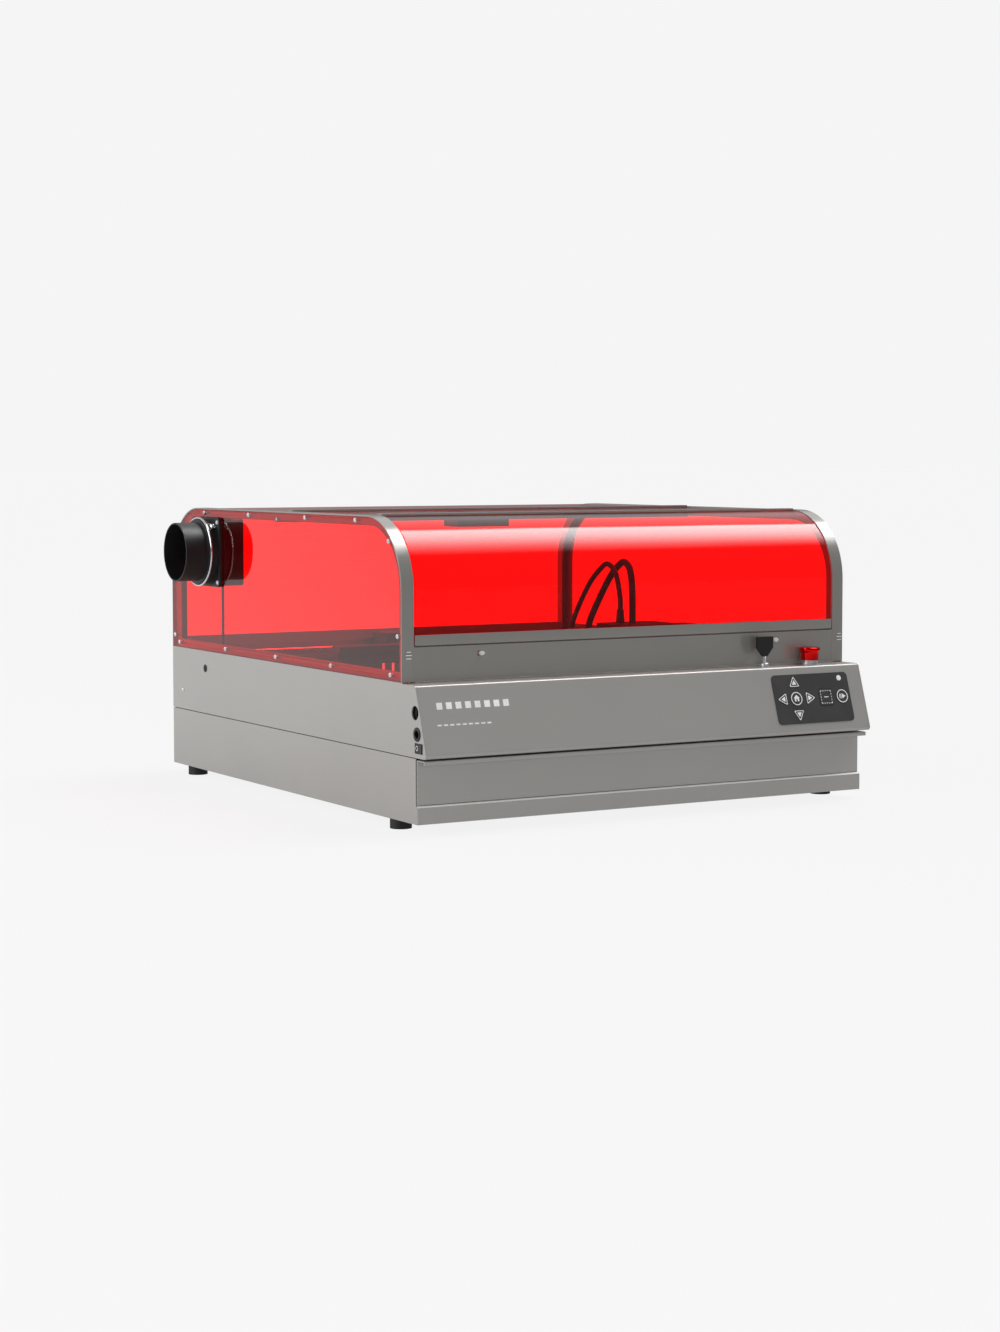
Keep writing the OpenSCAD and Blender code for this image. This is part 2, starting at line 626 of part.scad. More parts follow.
module head_cables() color(black) at_origin() {
    tube(thin_route, thin_cable_r);
    tube(thick_route, thick_cable_r);
    // boot that holds the thin cable on the module
    translate([91, 200, module_top]) cylinder(h = 15, r1 = 5.2, r2 = 3.6, $fn = 32);
}

module control_board() color([0.05, 0.3, 0.15]) at_origin() {
    block([-150, 0], [16, 17.6], [92, 148]);
    for (i = [0:3]) block([-140 + i * 34, -122 + i * 34], [8, 16], [104, 124]);
}

// ---- exhaust ----

module duct_flange() color(black) at_origin() mirror([1, 0, 0]) difference() {
    union() {
        translate([window_out, duct_y, duct_z]) rotate([90, 0, 90]) rounded_plate(80, 83, 5, 3.8);
        rod_x(window_out + 3.8, half_w + 16, duct_y, duct_z, duct_r + 4);
        rod_x(half_w + 16, half_w + duct_reach, duct_y, duct_z, duct_r);
    }
    rod_x(window_out - 1, half_w + duct_reach + 1, duct_y, duct_z, duct_r - 1.6);
    for (sy = [-1, 1], sz = [-1, 1])
        rod_x(window_out - 1, window_out + 5, duct_y + sy * 35.75, duct_z + sz * 35.75, screw_r);
}
// wire ring round the collar's base, with its over-centre latch
module duct_clamp() color(steel) at_origin() mirror([1, 0, 0]) {
    translate([half_w + 13, duct_y, duct_z]) rotate([0, 90, 0])
        rotate_extrude($fn = 72) translate([duct_r + 5.45, 0]) circle(r = 1.4, $fn = 16);
    translate([half_w + 9, duct_y - 29, duct_z + 35]) rotate([45, 0, 0]) {
        cube([7, 4, 9], center = true);
        translate([-3, 0, 6]) cube([1.6, 12, 2], center = true);
    }
}
module fan_frame() color(black) at_origin() mirror([1, 0, 0]) difference() {
    translate([window_in - 25, duct_y, duct_z]) rotate([90, 0, 90]) rounded_plate(80, 80, 4, 25);
    rod_x(window_in - 22, window_in + 1, duct_y, duct_z, 38);
    // openings in the back plate, round the motor
    difference() {
        rod_x(window_in - 26, window_in - 21, duct_y, duct_z, 38);
        rod_x(window_in - 27, window_in - 20, duct_y, duct_z, 15);
        for (a = [45, 135]) translate([window_in - 27, duct_y, duct_z]) rotate([a, 0, 0])
            translate([0, -2, -40]) cube([8, 4, 80]);
    }
    rod_x(window_in - 26, window_in - 21, duct_y, duct_z, shaft_r + running);
    for (sy = [-1, 1], sz = [-1, 1])
        rod_x(window_in - 6, window_in + 1, duct_y + sy * 35.75, duct_z + sz * 35.75, screw_r);
}
module fan_rotor() color(dark_grey) at_origin() mirror([1, 0, 0])
    translate([window_in - 21, duct_y, duct_z]) rotate([0, 90, 0]) {
        cylinder(h = 18, r = 16, $fn = 48);
        translate([0, 0, -3]) cylinder(h = 3, r = shaft_r, $fn = 48);
        for (i = [0:blade_count - 1]) rotate([0, 0, i * 360 / blade_count])
            translate([15, -1, 2]) rotate([35, 0, 0]) cube([20, 1.6, 18]);
    }
module fan_cable() color(black) at_origin()
    rod_z(-window_in + 4, 503, deck_z, duct_z - 40, fan_cable_r);

// ---- console fittings ----

module keypad() color(dark_grey) at_origin() difference() {
    on_console(keypad_x, 7 + keypad_h / 2) rounded_plate(keypad_w, keypad_h, 5, 0.8);
    for (k = [0:3]) arrow_at(k, -1, 3, slack);
    on_console(icon_x, icon_down, -1) cylinder(h = 3, r = round_key_r + slack, $fn = 48);
    on_console(play_x, icon_down, -1) cylinder(h = 3, r = round_key_r + slack, $fn = 48);
    on_console(frame_x, icon_down, -1) rounded_plate(18.5 + 2 * slack, 19 + 2 * slack, 2, 3);
}
// arrow keys stand round the home key: 0 up, 1 left, 2 down, 3 right
module arrow_at(k, lift, t, grow = 0)
    on_console(icon_x + icon_step * [0, -1, 0, 1][k], icon_down + icon_step * [-1, 0, 1, 0][k], lift)
        rotate([0, 0, 90 * k]) translate([0, -1, 0]) rounded_triangle(7.6, 1, t, grow);
module arrow_key(k) color(dark_grey) at_origin() arrow_at(k, key_low, key_t);
module round_key(x) color(dark_grey) at_origin()
    on_console(x, icon_down, key_low) cylinder(h = key_t, r = round_key_r, $fn = 48);
module key_up() arrow_key(0);
module key_left() arrow_key(1);
module key_down() arrow_key(2);
module key_right() arrow_key(3);
module key_home() round_key(icon_x);
module key_play() round_key(play_x);
module key_frame() color(dark_grey) at_origin()
    on_console(frame_x, icon_down, key_low) rounded_plate(18.5, 19, 2, key_t);

module key_lock() color(steel) at_origin() difference() {
    union() {
        rod_z(key_x, ledge_mid, ledge_z, ledge_z + 3, 6);
        rod_z(key_x, ledge_mid, ledge_z - 15, ledge_z, 5 - running);
    }
    rod_z(key_x, ledge_mid, ledge_z - 12, ledge_z + 4, key_shaft_r + running);
}
module key() color(black) at_origin() {
    rod_z(key_x, ledge_mid, ledge_z - 10, ledge_z + 14, key_shaft_r);
    translate([key_x, ledge_mid + 1.6, 0]) rotate([90, 0, 0]) linear_extrude(3.2) polygon([
        [-3, ledge_z + 12], [3, ledge_z + 12], [11, ledge_z + 22],
        [11, ledge_z + 34], [-11, ledge_z + 34], [-11, ledge_z + 22]]);
}
module stop_base() color(steel) at_origin() difference() {
    union() {
        rod_z(stop_x, ledge_mid, ledge_z, ledge_z + 2.2, 10.5);
        rod_z(stop_x, ledge_mid, ledge_z + 2.2, ledge_z + 7, 9.4);
        rod_z(stop_x, ledge_mid, ledge_z - 20, ledge_z, 7 - running);
    }
    rod_z(stop_x, ledge_mid, ledge_z - 18, ledge_z + 8, 3 + running);
}
module stop_button() color("firebrick") at_origin() {
    translate([stop_x, ledge_mid, 0]) rotate_extrude($fn = 72) polygon([
        [0, ledge_z + 10.5], [9.8, ledge_z + 10.5], [9.8, ledge_z + 5.3], [10.3, ledge_z + 5.3],
        [10.5, ledge_z + 14], [12, ledge_z + 16.5], [12, ledge_z + 18.8], [11, ledge_z + 20],
        [0, ledge_z + 20.6]]);
    rod_z(stop_x, ledge_mid, ledge_z - 12, ledge_z + 10.5, 3);
}
// data socket and power inlet in the side panel's two round holes, and the rocker's housing
module side_sockets() color(black) at_origin() mirror([1, 0, 0]) {
    difference() {
        rod_x(half_w - 14, half_w - 3.2, usb_at[0], usb_at[1], usb_r - running);
        block([half_w - 10, half_w],
            [usb_at[0] - 2.4, usb_at[0] + 2.4], [usb_at[1] - 4.6, usb_at[1] + 4.6]);
    }
    difference() {
        rod_x(half_w - 14, half_w + 0.6, inlet_at[0], inlet_at[1], inlet_r - running);
        rod_x(half_w - 10, half_w + 1, inlet_at[0], inlet_at[1], 4.2);
    }
    rod_x(half_w - 12, half_w - 3, inlet_at[0], inlet_at[1], 1.2);
    difference() {
        rocker_room(half_w - 13, half_w - sheet, 1.7, 1.5);
        rocker_room(half_w - 12, half_w, 0.8, 0.3);
        rod_z(half_w - rocker_pin_in, rocker_at[0], rocker_at[1] - 10, rocker_at[1] + 10,
            rocker_pin_r + running);
    }
}
// rocker of the power switch, tipped to off; it turns about an upright pin
module power_rocker() color(black) at_origin() mirror([1, 0, 0]) {
    translate([half_w - rocker_pin_in, rocker_at[0], rocker_at[1] - rocker_half[1]])
        rotate([0, 0, rocker_tip]) linear_extrude(2 * rocker_half[1]) polygon([
            [-3, -rocker_half[0]], [4.6, -rocker_half[0]], [4, 0],
            [4.6, rocker_half[0]], [-3, rocker_half[0]]]);
    rod_z(half_w - rocker_pin_in, rocker_at[0],
        rocker_at[1] - rocker_half[1] - 1, rocker_at[1] + rocker_half[1] + 1, rocker_pin_r);
}

lower_case();
side_panel_left();
side_panel_right();
rear_panel();
console_shell();
front_panel();
deck_plate();
arch_left();
arch_right();
window_left();
window_right();
rear_cover();
casing_screws();
hinge_bar();
hinge_pins();
camera_module();
feet();
drawer_runners();
y_rails();
y_motor();
shaft_supports();
y_belts();
control_board();
duct_flange();
duct_clamp();
fan_frame();
fan_cable();
keypad();
key_lock();
stop_base();
side_sockets();
lid_cover();
lid_rail();
lid_hinge_bar();
lid_strips();
drawer_front();
drawer_tray();
work_bed();
gantry_plates();
x_beam();
x_belt();
x_motor();
head_carriage();
laser_module();
key_play();
head_cables();
y_shaft();
y_idlers();
x_pulley();
x_idler();
fan_rotor();
power_rocker();
key();
stop_button();
key_up();
key_down();
key_left();
key_right();
key_home();
key_frame();
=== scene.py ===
"""Looks of the enclosed desktop laser engraver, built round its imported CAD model.

Lengths are in millimetres and laid out as in the CAD source: x from the machine's middle,
y back from the base's front face and z up from the floor. at() turns them into the row
frame, in metres.
"""

import json
import math

import bmesh
import bpy
from mathutils import Matrix, Vector

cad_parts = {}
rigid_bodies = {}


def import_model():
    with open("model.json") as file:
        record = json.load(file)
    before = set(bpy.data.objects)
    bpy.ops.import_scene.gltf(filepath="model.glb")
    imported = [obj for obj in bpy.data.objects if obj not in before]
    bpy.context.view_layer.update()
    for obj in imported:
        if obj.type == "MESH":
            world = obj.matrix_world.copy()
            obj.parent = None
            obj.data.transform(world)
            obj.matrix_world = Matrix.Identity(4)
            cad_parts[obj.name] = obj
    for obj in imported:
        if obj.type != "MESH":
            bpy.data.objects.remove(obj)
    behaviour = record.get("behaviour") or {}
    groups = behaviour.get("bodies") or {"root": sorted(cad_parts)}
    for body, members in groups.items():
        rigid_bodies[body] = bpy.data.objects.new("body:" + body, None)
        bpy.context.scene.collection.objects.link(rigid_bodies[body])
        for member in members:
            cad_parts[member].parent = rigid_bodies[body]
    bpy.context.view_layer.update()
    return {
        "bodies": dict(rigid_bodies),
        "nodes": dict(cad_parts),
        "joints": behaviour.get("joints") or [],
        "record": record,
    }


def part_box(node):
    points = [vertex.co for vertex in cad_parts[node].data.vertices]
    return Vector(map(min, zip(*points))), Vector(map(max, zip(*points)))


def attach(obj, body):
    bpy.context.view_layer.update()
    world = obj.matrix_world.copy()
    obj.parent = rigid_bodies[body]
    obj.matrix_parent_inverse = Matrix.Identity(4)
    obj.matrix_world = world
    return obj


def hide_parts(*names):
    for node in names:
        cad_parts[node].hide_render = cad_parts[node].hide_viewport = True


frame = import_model()
nodes = frame["nodes"]

MM = 0.001

# ---- driving dimensions, as in the CAD source ----

SHEET = 1.5
CASE_TOP = 329.0
HOOD_R = 78.5
# The front panel and the hood stand this far behind the base's front face
SETBACK = 32.0
SILL_Z = 156.0
LEDGE_Z = 155.0
CONSOLE_TILT = math.radians(18.3)
# y and z of the top of the console's sloped face, where its bend ends
CONSOLE_EDGE = (1.489, 152.942)

middle_x = (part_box("side_panel_left")[0].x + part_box("side_panel_right")[1].x) / 2
front_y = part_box("drawer_front")[1].y - SHEET * MM
half_w = (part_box("side_panel_right")[1].x - middle_x) / MM


def at(x, y, z):
    """A point of the machine's layout, in the row frame."""
    return Vector((middle_x + x * MM, front_y + y * MM, z * MM))


def centre_of(node):
    """The middle of a CAD node's box, in the machine's millimetres."""
    low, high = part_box(node)
    middle = (low + high) / 2
    return Vector(((middle.x - middle_x) / MM, (middle.y - front_y) / MM, middle.z / MM))


panel_face = (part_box("front_panel")[0].y - front_y) / MM


# ---- materials ----


def srgb(red, green, blue):
    """A screen colour, 0 to 255, as the linear colour that shaders take."""
    def linear(v):
        v = v / 255
        return v / 12.92 if v <= 0.04045 else ((v + 0.055) / 1.055) ** 2.4
    return (linear(red), linear(green), linear(blue), 1.0)


class Recipe:
    """A material being built: its nodes, its shader and the point on the surface."""

    def __init__(self, name, colour, roughness, metallic=0.0):
        self.material = bpy.data.materials.new(name)
        self.material.use_nodes = True
        self.tree = self.material.node_tree
        self.shader = self.tree.nodes["Principled BSDF"]
        self.output = self.tree.nodes["Material Output"]
        self.colour = colour
        self.roughness = roughness
        self.set("Base Color", colour)
        self.set("Roughness", roughness)
        self.set("Metallic", metallic)
        self.point = self.node("ShaderNodeTexCoord").outputs["Object"]

    def node(self, kind, **settings):
        made = self.tree.nodes.new(kind)
        for name, value in settings.items():
            setattr(made, name, value)
        return made

    def link(self, source, target):
        self.tree.links.new(source, target)

    def set(self, socket, value):
        self.shader.inputs[socket].default_value = value

    def stretched(self, scale):
        """The surface point with its axes scaled, for grain that runs one way."""
        mapping = self.node("ShaderNodeMapping")
        mapping.inputs["Scale"].default_value = scale
        self.link(self.point, mapping.inputs["Vector"])
        return mapping.outputs["Vector"]

    def noise(self, scale, detail=2.0, point=None):
        made = self.node("ShaderNodeTexNoise")
        made.inputs["Scale"].default_value = scale
        made.inputs["Detail"].default_value = detail
        self.link(point or self.point, made.inputs["Vector"])
        return made.outputs["Fac"]

    def spread(self, value, low, high, start=0.3, end=0.7):
        """value from start to end becomes low to high, and stays between them."""
        made = self.node("ShaderNodeMapRange")
        made.inputs["From Min"].default_value = start
        made.inputs["From Max"].default_value = end
        made.inputs["To Min"].default_value = low
        made.inputs["To Max"].default_value = high
        self.link(value, made.inputs["Value"])
        return made.outputs["Result"]

    def shade(self, value, amount):
        """The base colour gets lighter and darker by a share, as value goes from 0 to 1."""
        mix = self.node("ShaderNodeMix", data_type="RGBA", blend_type="MIX")
        low = [c * (1 - amount) for c in self.colour[:3]] + [1]
        high = [min(1, c * (1 + amount)) for c in self.colour[:3]] + [1]
        mix.inputs["A"].default_value = low
        mix.inputs["B"].default_value = high
        self.link(value, mix.inputs["Factor"])
        self.link(mix.outputs["Result"], self.shader.inputs["Base Color"])

    def vary_roughness(self, value, amount):
        spread = self.spread(value, self.roughness - amount, self.roughness + amount, 0.1, 0.9)
        self.link(spread, self.shader.inputs["Roughness"])

    def bump(self, value, height):
        """A relief of that height in metres."""
        made = self.node("ShaderNodeBump")
        made.inputs["Strength"].default_value = 1.0
        made.inputs["Distance"].default_value = height
        self.link(value, made.inputs["Height"])
        self.link(made.outputs["Normal"], self.shader.inputs["Normal"])


def powder_coat(name, colour, roughness, metallic):
    """Fine, even powder coat: a pebbled surface with faint clouds of gloss."""
    made = Recipe(name, colour, roughness, metallic)
    made.shade(made.spread(made.noise(9, 2), 0, 1, 0.1, 0.9), 0.03)
    made.vary_roughness(made.noise(25, 2), 0.02)
    made.bump(made.noise(1500, 2), 0.00002)
    return made.material


def brushed(name, colour, roughness, grain):
    """Metal with a fine directional grain, finer across it than along it."""
    made = Recipe(name, colour, roughness, 1.0)
    lines = made.noise(1.0, 3, made.stretched(grain))
    made.shade(made.spread(lines, 0, 1), 0.08)
    made.vary_roughness(lines, 0.08)
    made.bump(lines, 0.00001)
    return made.material


def moulded(name, colour, roughness, grain_height):
    """Moulded plastic or rubber: fine spark-eroded grain and soft handling marks."""
    made = Recipe(name, colour, roughness)
    made.shade(made.spread(made.noise(40, 3), 0, 1), 0.12)
    made.vary_roughness(made.noise(60, 4), 0.07)
    made.bump(made.noise(2200, 2), grain_height)
    return made.material


def red_acrylic(name, tint, painted_glow, painted_glow_share):
    """Clear cast acrylic: rays pass straight through tinted, and the outer faces mirror.

    Its emission is a painted glow, the same under any light, standing for the light that
    fluorescent acrylic gathers and gives off again.
    """
    made = Recipe(name, tint, 0.03)
    clear = made.node("ShaderNodeBsdfTransparent")
    clear.inputs["Color"].default_value = tint
    body = made.node("ShaderNodeMixShader")
    body.inputs["Fac"].default_value = painted_glow_share
    # Painted glow: an emission of the acrylic's own, lit by nothing
    painted_glow_shader = made.node("ShaderNodeEmission")
    painted_glow_shader.inputs["Color"].default_value = painted_glow
    made.link(clear.outputs["BSDF"], body.inputs[1])
    made.link(painted_glow_shader.outputs["Emission"], body.inputs[2])
    mirror = made.node("ShaderNodeBsdfGlossy")
    mirror.inputs["Color"].default_value = (1, 1, 1, 1)
    streaks = made.spread(made.noise(30, 4), 0.02, 0.06)
    made.link(streaks, mirror.inputs["Roughness"])
    wave = made.node("ShaderNodeBump")
    wave.inputs["Distance"].default_value = 0.0006
    made.link(made.noise(6, 1), wave.inputs["Height"])
    made.link(wave.outputs["Normal"], mirror.inputs["Normal"])
    edge = made.node("ShaderNodeFresnel")
    edge.inputs["IOR"].default_value = 1.49
    inside = made.node("ShaderNodeNewGeometry").outputs["Backfacing"]
    outside = made.node("ShaderNodeMath", operation="SUBTRACT")
    outside.inputs[0].default_value = 1.0
    made.link(inside, outside.inputs[1])
    share = made.node("ShaderNodeMath", operation="MULTIPLY")
    made.link(edge.outputs["Fac"], share.inputs[0])
    made.link(outside.outputs["Value"], share.inputs[1])
    gloss = made.node("ShaderNodeMixShader")
    made.link(share.outputs["Value"], gloss.inputs["Fac"])
    made.link(body.outputs["Shader"], gloss.inputs[1])
    made.link(mirror.outputs["BSDF"], gloss.inputs[2])
    made.link(gloss.outputs["Shader"], made.output.inputs["Surface"])
    made.tree.nodes.remove(made.shader)
    return made.material


light_paint = powder_coat("light_paint", srgb(174, 172, 169), 0.32, 0.30)
# A paler paint for the top of the strip's fold: a painted highlight
fold_highlight_paint = powder_coat("fold_highlight_paint", srgb(236, 235, 231), 0.45, 0.0)
frame_paint = powder_coat("frame_paint", srgb(160, 158, 154), 0.22, 0.42)
dark_paint = powder_coat("dark_paint", srgb(58, 57, 57), 0.42, 0.0)
black_alloy = powder_coat("black_alloy", srgb(40, 40, 42), 0.36, 0.3)
zinc = brushed("zinc", srgb(205, 205, 208), 0.26, (400, 400, 60))
alloy = brushed("alloy", srgb(196, 197, 200), 0.32, (60, 900, 900))
chrome = brushed("chrome", srgb(232, 232, 236), 0.10, (500, 500, 500))
black_plastic = moulded("black_plastic", srgb(26, 26, 27), 0.42, 0.000025)
rubber = moulded("rubber", srgb(20, 20, 20), 0.60, 0.00004)
keypad_film = moulded("keypad_film", srgb(58, 58, 59), 0.48, 0.000015)
stop_red = brushed("stop_red", srgb(240, 26, 26), 0.16, (900, 900, 60))
board_green = moulded("board_green", srgb(20, 84, 46), 0.35, 0.00003)
satin_steel = brushed("satin_steel", srgb(244, 244, 246), 0.42, (500, 500, 500))
white_ink = moulded("white_ink", srgb(240, 240, 240), 0.5, 0.000005)
lamp_white = moulded("lamp_white", srgb(250, 250, 250), 0.25, 0.000005)
pale_plastic = moulded("pale_plastic", srgb(226, 226, 224), 0.4, 0.00001)
lens_glass = moulded("lens_glass", srgb(10, 10, 16), 0.05, 0.000001)
# Both acrylics take a red tint above 1, which passes more red than reaches them, and a faint
# painted glow: painted light that brightens their red
lid_red = red_acrylic("lid_acrylic", (1.06, 0.12, 0.12, 1), (1.0, 0.004, 0.004, 1), 0.012)
window_red = red_acrylic("window_acrylic", (1.06, 0.185, 0.185, 1), (1.0, 0.01, 0.01, 1), 0.012)

# The nodes that take each finish
FINISHES = [
    (light_paint, ["lower_case", "side_panel_left", "side_panel_right", "rear_panel",
                   "console_shell", "drawer_front"]),
    (frame_paint, ["front_panel", "arch_left", "arch_right", "lid_rail", "lid_strips"]),
    (dark_paint, ["deck_plate", "drawer_tray", "hinge_bar", "x_motor", "y_motor"]),
    (black_alloy, ["gantry_plates", "head_carriage", "laser_module", "lid_hinge_bar",
                   "x_beam", "y_rails"]),
    (zinc, ["casing_screws", "drawer_runners", "hinge_pins", "y_shaft"]),
    (alloy, ["shaft_supports", "work_bed", "x_idler", "x_pulley", "y_idlers"]),
    (chrome, ["duct_clamp", "key_lock", "stop_base"]),
    (black_plastic, ["camera_module", "duct_flange", "fan_frame", "fan_rotor", "key",
                     "power_rocker", "side_sockets"]),
    (rubber, ["fan_cable", "feet", "head_cables", "x_belt", "y_belts"]),
    (keypad_film, ["keypad", "key_up", "key_down", "key_left", "key_right", "key_home",
                   "key_frame", "key_play"]),
    (stop_red, ["stop_button"]),
    (board_green, ["control_board"]),
    (lid_red, ["lid_cover", "rear_cover"]),
    (window_red, ["window_left", "window_right"]),
]
for finish, names in FINISHES:
    for name in names:
        for slot in nodes[name].material_slots:
            slot.material = finish

# ---- edges of the CAD nodes ----


def smoothing_group():
    """Modifier nodes that smooth a mesh across edges flatter than its angle."""
    group = bpy.data.node_groups.new("smooth_by_angle", "GeometryNodeTree")
    group.interface.new_socket("Geometry", in_out="INPUT", socket_type="NodeSocketGeometry")
    group.interface.new_socket("Geometry", in_out="OUTPUT", socket_type="NodeSocketGeometry")
    source = group.nodes.new("NodeGroupInput")
    target = group.nodes.new("NodeGroupOutput")
    plain = group.nodes.new("GeometryNodeRemoveAttribute")
    plain.inputs["Name"].default_value = "custom_normal"
    faces = group.nodes.new("GeometryNodeSetShadeSmooth")
    edges = group.nodes.new("GeometryNodeSetShadeSmooth")
    edges.domain = "EDGE"
    edges.inputs["Shade Smooth"].default_value = False
    angle = group.nodes.new("GeometryNodeInputMeshEdgeAngle")
    sharp = group.nodes.new("FunctionNodeCompare")
    sharp.operation = "GREATER_THAN"
    sharp.inputs["B"].default_value = math.radians(32)
    group.links.new(source.outputs["Geometry"], plain.inputs["Geometry"])
    group.links.new(plain.outputs["Geometry"], faces.inputs["Geometry"])
    group.links.new(faces.outputs["Geometry"], edges.inputs["Geometry"])
    group.links.new(angle.outputs["Unsigned Angle"], sharp.inputs["A"])
    group.links.new(sharp.outputs["Result"], edges.inputs["Selection"])
    group.links.new(edges.outputs["Geometry"], target.inputs["Geometry"])
    return group


smooth_by_angle = smoothing_group()


def soften(obj, width):
    """Rounds an object's hard edges by width, in millimetres, and smooths its curves."""
    weld = obj.modifiers.new("weld", "WELD")
    weld.merge_threshold = 0.000002
    if width:
        bevel = obj.modifiers.new("bevel", "BEVEL")
        bevel.width = width * MM
        bevel.segments = 2
        bevel.limit_method = "ANGLE"
        bevel.angle_limit = math.radians(40)
        bevel.use_clamp_overlap = True
        bevel.miter_outer = "MITER_SHARP"
    smooth = obj.modifiers.new("smooth", "NODES")
    smooth.node_group = smooth_by_angle
    normals = obj.modifiers.new("normals", "WEIGHTED_NORMAL")
    normals.keep_sharp = True
    normals.weight = 100


SHARP = 0.0
EDGE_ROUNDING = {
    "lower_case": 0.5, "side_panel_left": 0.35, "side_panel_right": 0.35, "rear_panel": 0.35,
    "console_shell": 0.35, "front_panel": 0.3, "arch_left": 0.4, "arch_right": 0.4,
    "drawer_front": 0.7, "lid_rail": 0.5, "deck_plate": 0.3, "drawer_tray": 0.3,
    "lid_strips": 0.4, "window_left": 0.25, "window_right": 0.25, "lid_cover": 0.25,
    "rear_cover": 0.25, "camera_module": 0.8, "feet": 0.8, "duct_flange": 0.5,
    "fan_frame": 0.5, "key": 0.5, "power_rocker": 0.6, "side_sockets": 0.25,
    "laser_module": 0.6, "head_carriage": 0.5, "x_beam": 0.5, "y_rails": 0.5,
    "gantry_plates": 0.5, "x_motor": 0.8, "y_motor": 0.8, "stop_base": 0.3,
    "stop_button": 0.25, "key_lock": 0.3, "keypad": 0.15, "hinge_bar": 0.4,
    "lid_hinge_bar": 0.4, "work_bed": 0.2, "shaft_supports": 0.5,
}
for name, obj in nodes.items():
    soften(obj, EDGE_ROUNDING.get(name, SHARP))

# ---- pieces built here ----

UP = (0, 0, 1)
DOWN = (0, 0, -1)
LEFT = (-1, 0, 0)
FRONT = (0, -1, 0)


def frame_at(origin, out, up):
    """A small frame in millimetres: its z runs along out and its y along up."""
    z = Vector(out).normalized()
    y = Vector(up).normalized()
    spin = Matrix((y.cross(z), y, z)).transposed().to_4x4()
    return Matrix.Translation(at(*origin)) @ spin @ Matrix.Scale(MM, 4)


def ring_of(radius, sides=36, turn=0.0):
    """Points of a circle, or of a polygon when there are few sides."""
    steps = [turn + 2 * math.pi * k / sides for k in range(sides)]
    return [(radius * math.cos(a), radius * math.sin(a)) for a in steps]


def hexagon(radius, sides=36):
    """As many points as a circle has, laid along a hexagon of that corner radius."""
    sixth = math.pi / 3
    reach = [radius * math.cos(sixth / 2) / math.cos(2 * math.pi * k / sides % sixth - sixth / 2)
             for k in range(sides)]
    return [(reach[k] * x, reach[k] * y) for k, (x, y) in enumerate(ring_of(1.0, sides))]


class Piece:
    """One mesh put together from turned, cut-out and piped shapes, in millimetres."""

    def __init__(self):
        self.mesh = bmesh.new()

    def skin(self, frame, rings, closed=False):
        """Joins rings of points in turn. Open ends get a face unless closed joins them up."""
        made = [[self.mesh.verts.new(frame @ Vector(p)) for p in ring] for ring in rings]
        pairs = list(zip(made, made[1:]))
        if closed:
            pairs.append((made[-1], made[0]))
        for low, high in pairs:
            for k in range(len(low)):
                after = (k + 1) % len(low)
                self.mesh.faces.new((low[k], low[after], high[after], high[k]))
        if not closed:
            self.mesh.faces.new(list(reversed(made[0])))
            self.mesh.faces.new(made[-1])

    def turned(self, frame, profile, sides=36, closed=False):
        """A lathe shape about the frame's z, from (radius, height) points."""
        rings = [[(x, y, z) for x, y in ring_of(radius, sides)] for radius, z in profile]
        self.skin(frame, rings, closed)

    def cut_out(self, frame, outline, low, high):
        """A flat outline made solid from low to high along the frame's z."""
        self.skin(frame, [[(x, y, z) for x, y in outline] for z in (low, high)])

    def hoop(self, frame, outer, inner, low, high):
        """A flat band between two outlines with as many points."""
        edges = [(outer, low), (outer, high), (inner, high), (inner, low)]
        self.skin(frame, [[(x, y, z) for x, y in line] for line, z in edges], closed=True)

    def bar(self, frame, left, right, bottom, top, low, high):
        self.cut_out(frame, [(left, bottom), (right, bottom), (right, top), (left, top)], low, high)

    def pipe(self, frame, route, radius, sides=16):
        """A round wire along a route of points."""
        route = [Vector(p) for p in route]
        rings = []
        side = None
        for k, point in enumerate(route):
            along = (route[min(k + 1, len(route) - 1)] - route[max(k - 1, 0)]).normalized()
            side = (side or along.orthogonal()) - along * (side or along.orthogonal()).dot(along)
            side.normalize()
            other = along.cross(side)
            rings.append([point + side * x + other * y for x, y in ring_of(radius, sides)])
        self.skin(frame, rings)

    def done(self, name, material, body, rounding=0.0, instead_of=None):
        """The finished object, which moves with body."""
        bmesh.ops.recalc_face_normals(self.mesh, faces=self.mesh.faces)
        data = bpy.data.meshes.new(name)
        self.mesh.to_mesh(data)
        self.mesh.free()
        data.materials.append(material)
        obj = bpy.data.objects.new(name, data)
        bpy.context.scene.collection.objects.link(obj)
        soften(obj, rounding)
        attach(obj, body)
        if instead_of:
            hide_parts(instead_of)
        return obj


def islands(node):
    """The boxes of a CAD node's separate solids, in machine millimetres."""
    source = bmesh.new()
    source.from_mesh(nodes[node].data)
    bmesh.ops.remove_doubles(source, verts=source.verts, dist=0.000002)
    left = set(source.verts)
    boxes = []
    while left:
        front = [left.pop()]
        group = list(front)
        while front:
            vert = front.pop()
            for edge in vert.link_edges:
                other = edge.other_vert(vert)
                if other in left:
                    left.remove(other)
                    front.append(other)
                    group.append(other)
        spots = [nodes[node].matrix_world @ v.co for v in group]
        ends = []
        for pick in (min, max):
            x, y, z = (pick(p[axis] for p in spots) for axis in range(3))
            ends.append(Vector(((x - middle_x) / MM, (y - front_y) / MM, z / MM)))
        boxes.append(ends)
    source.free()
    return boxes


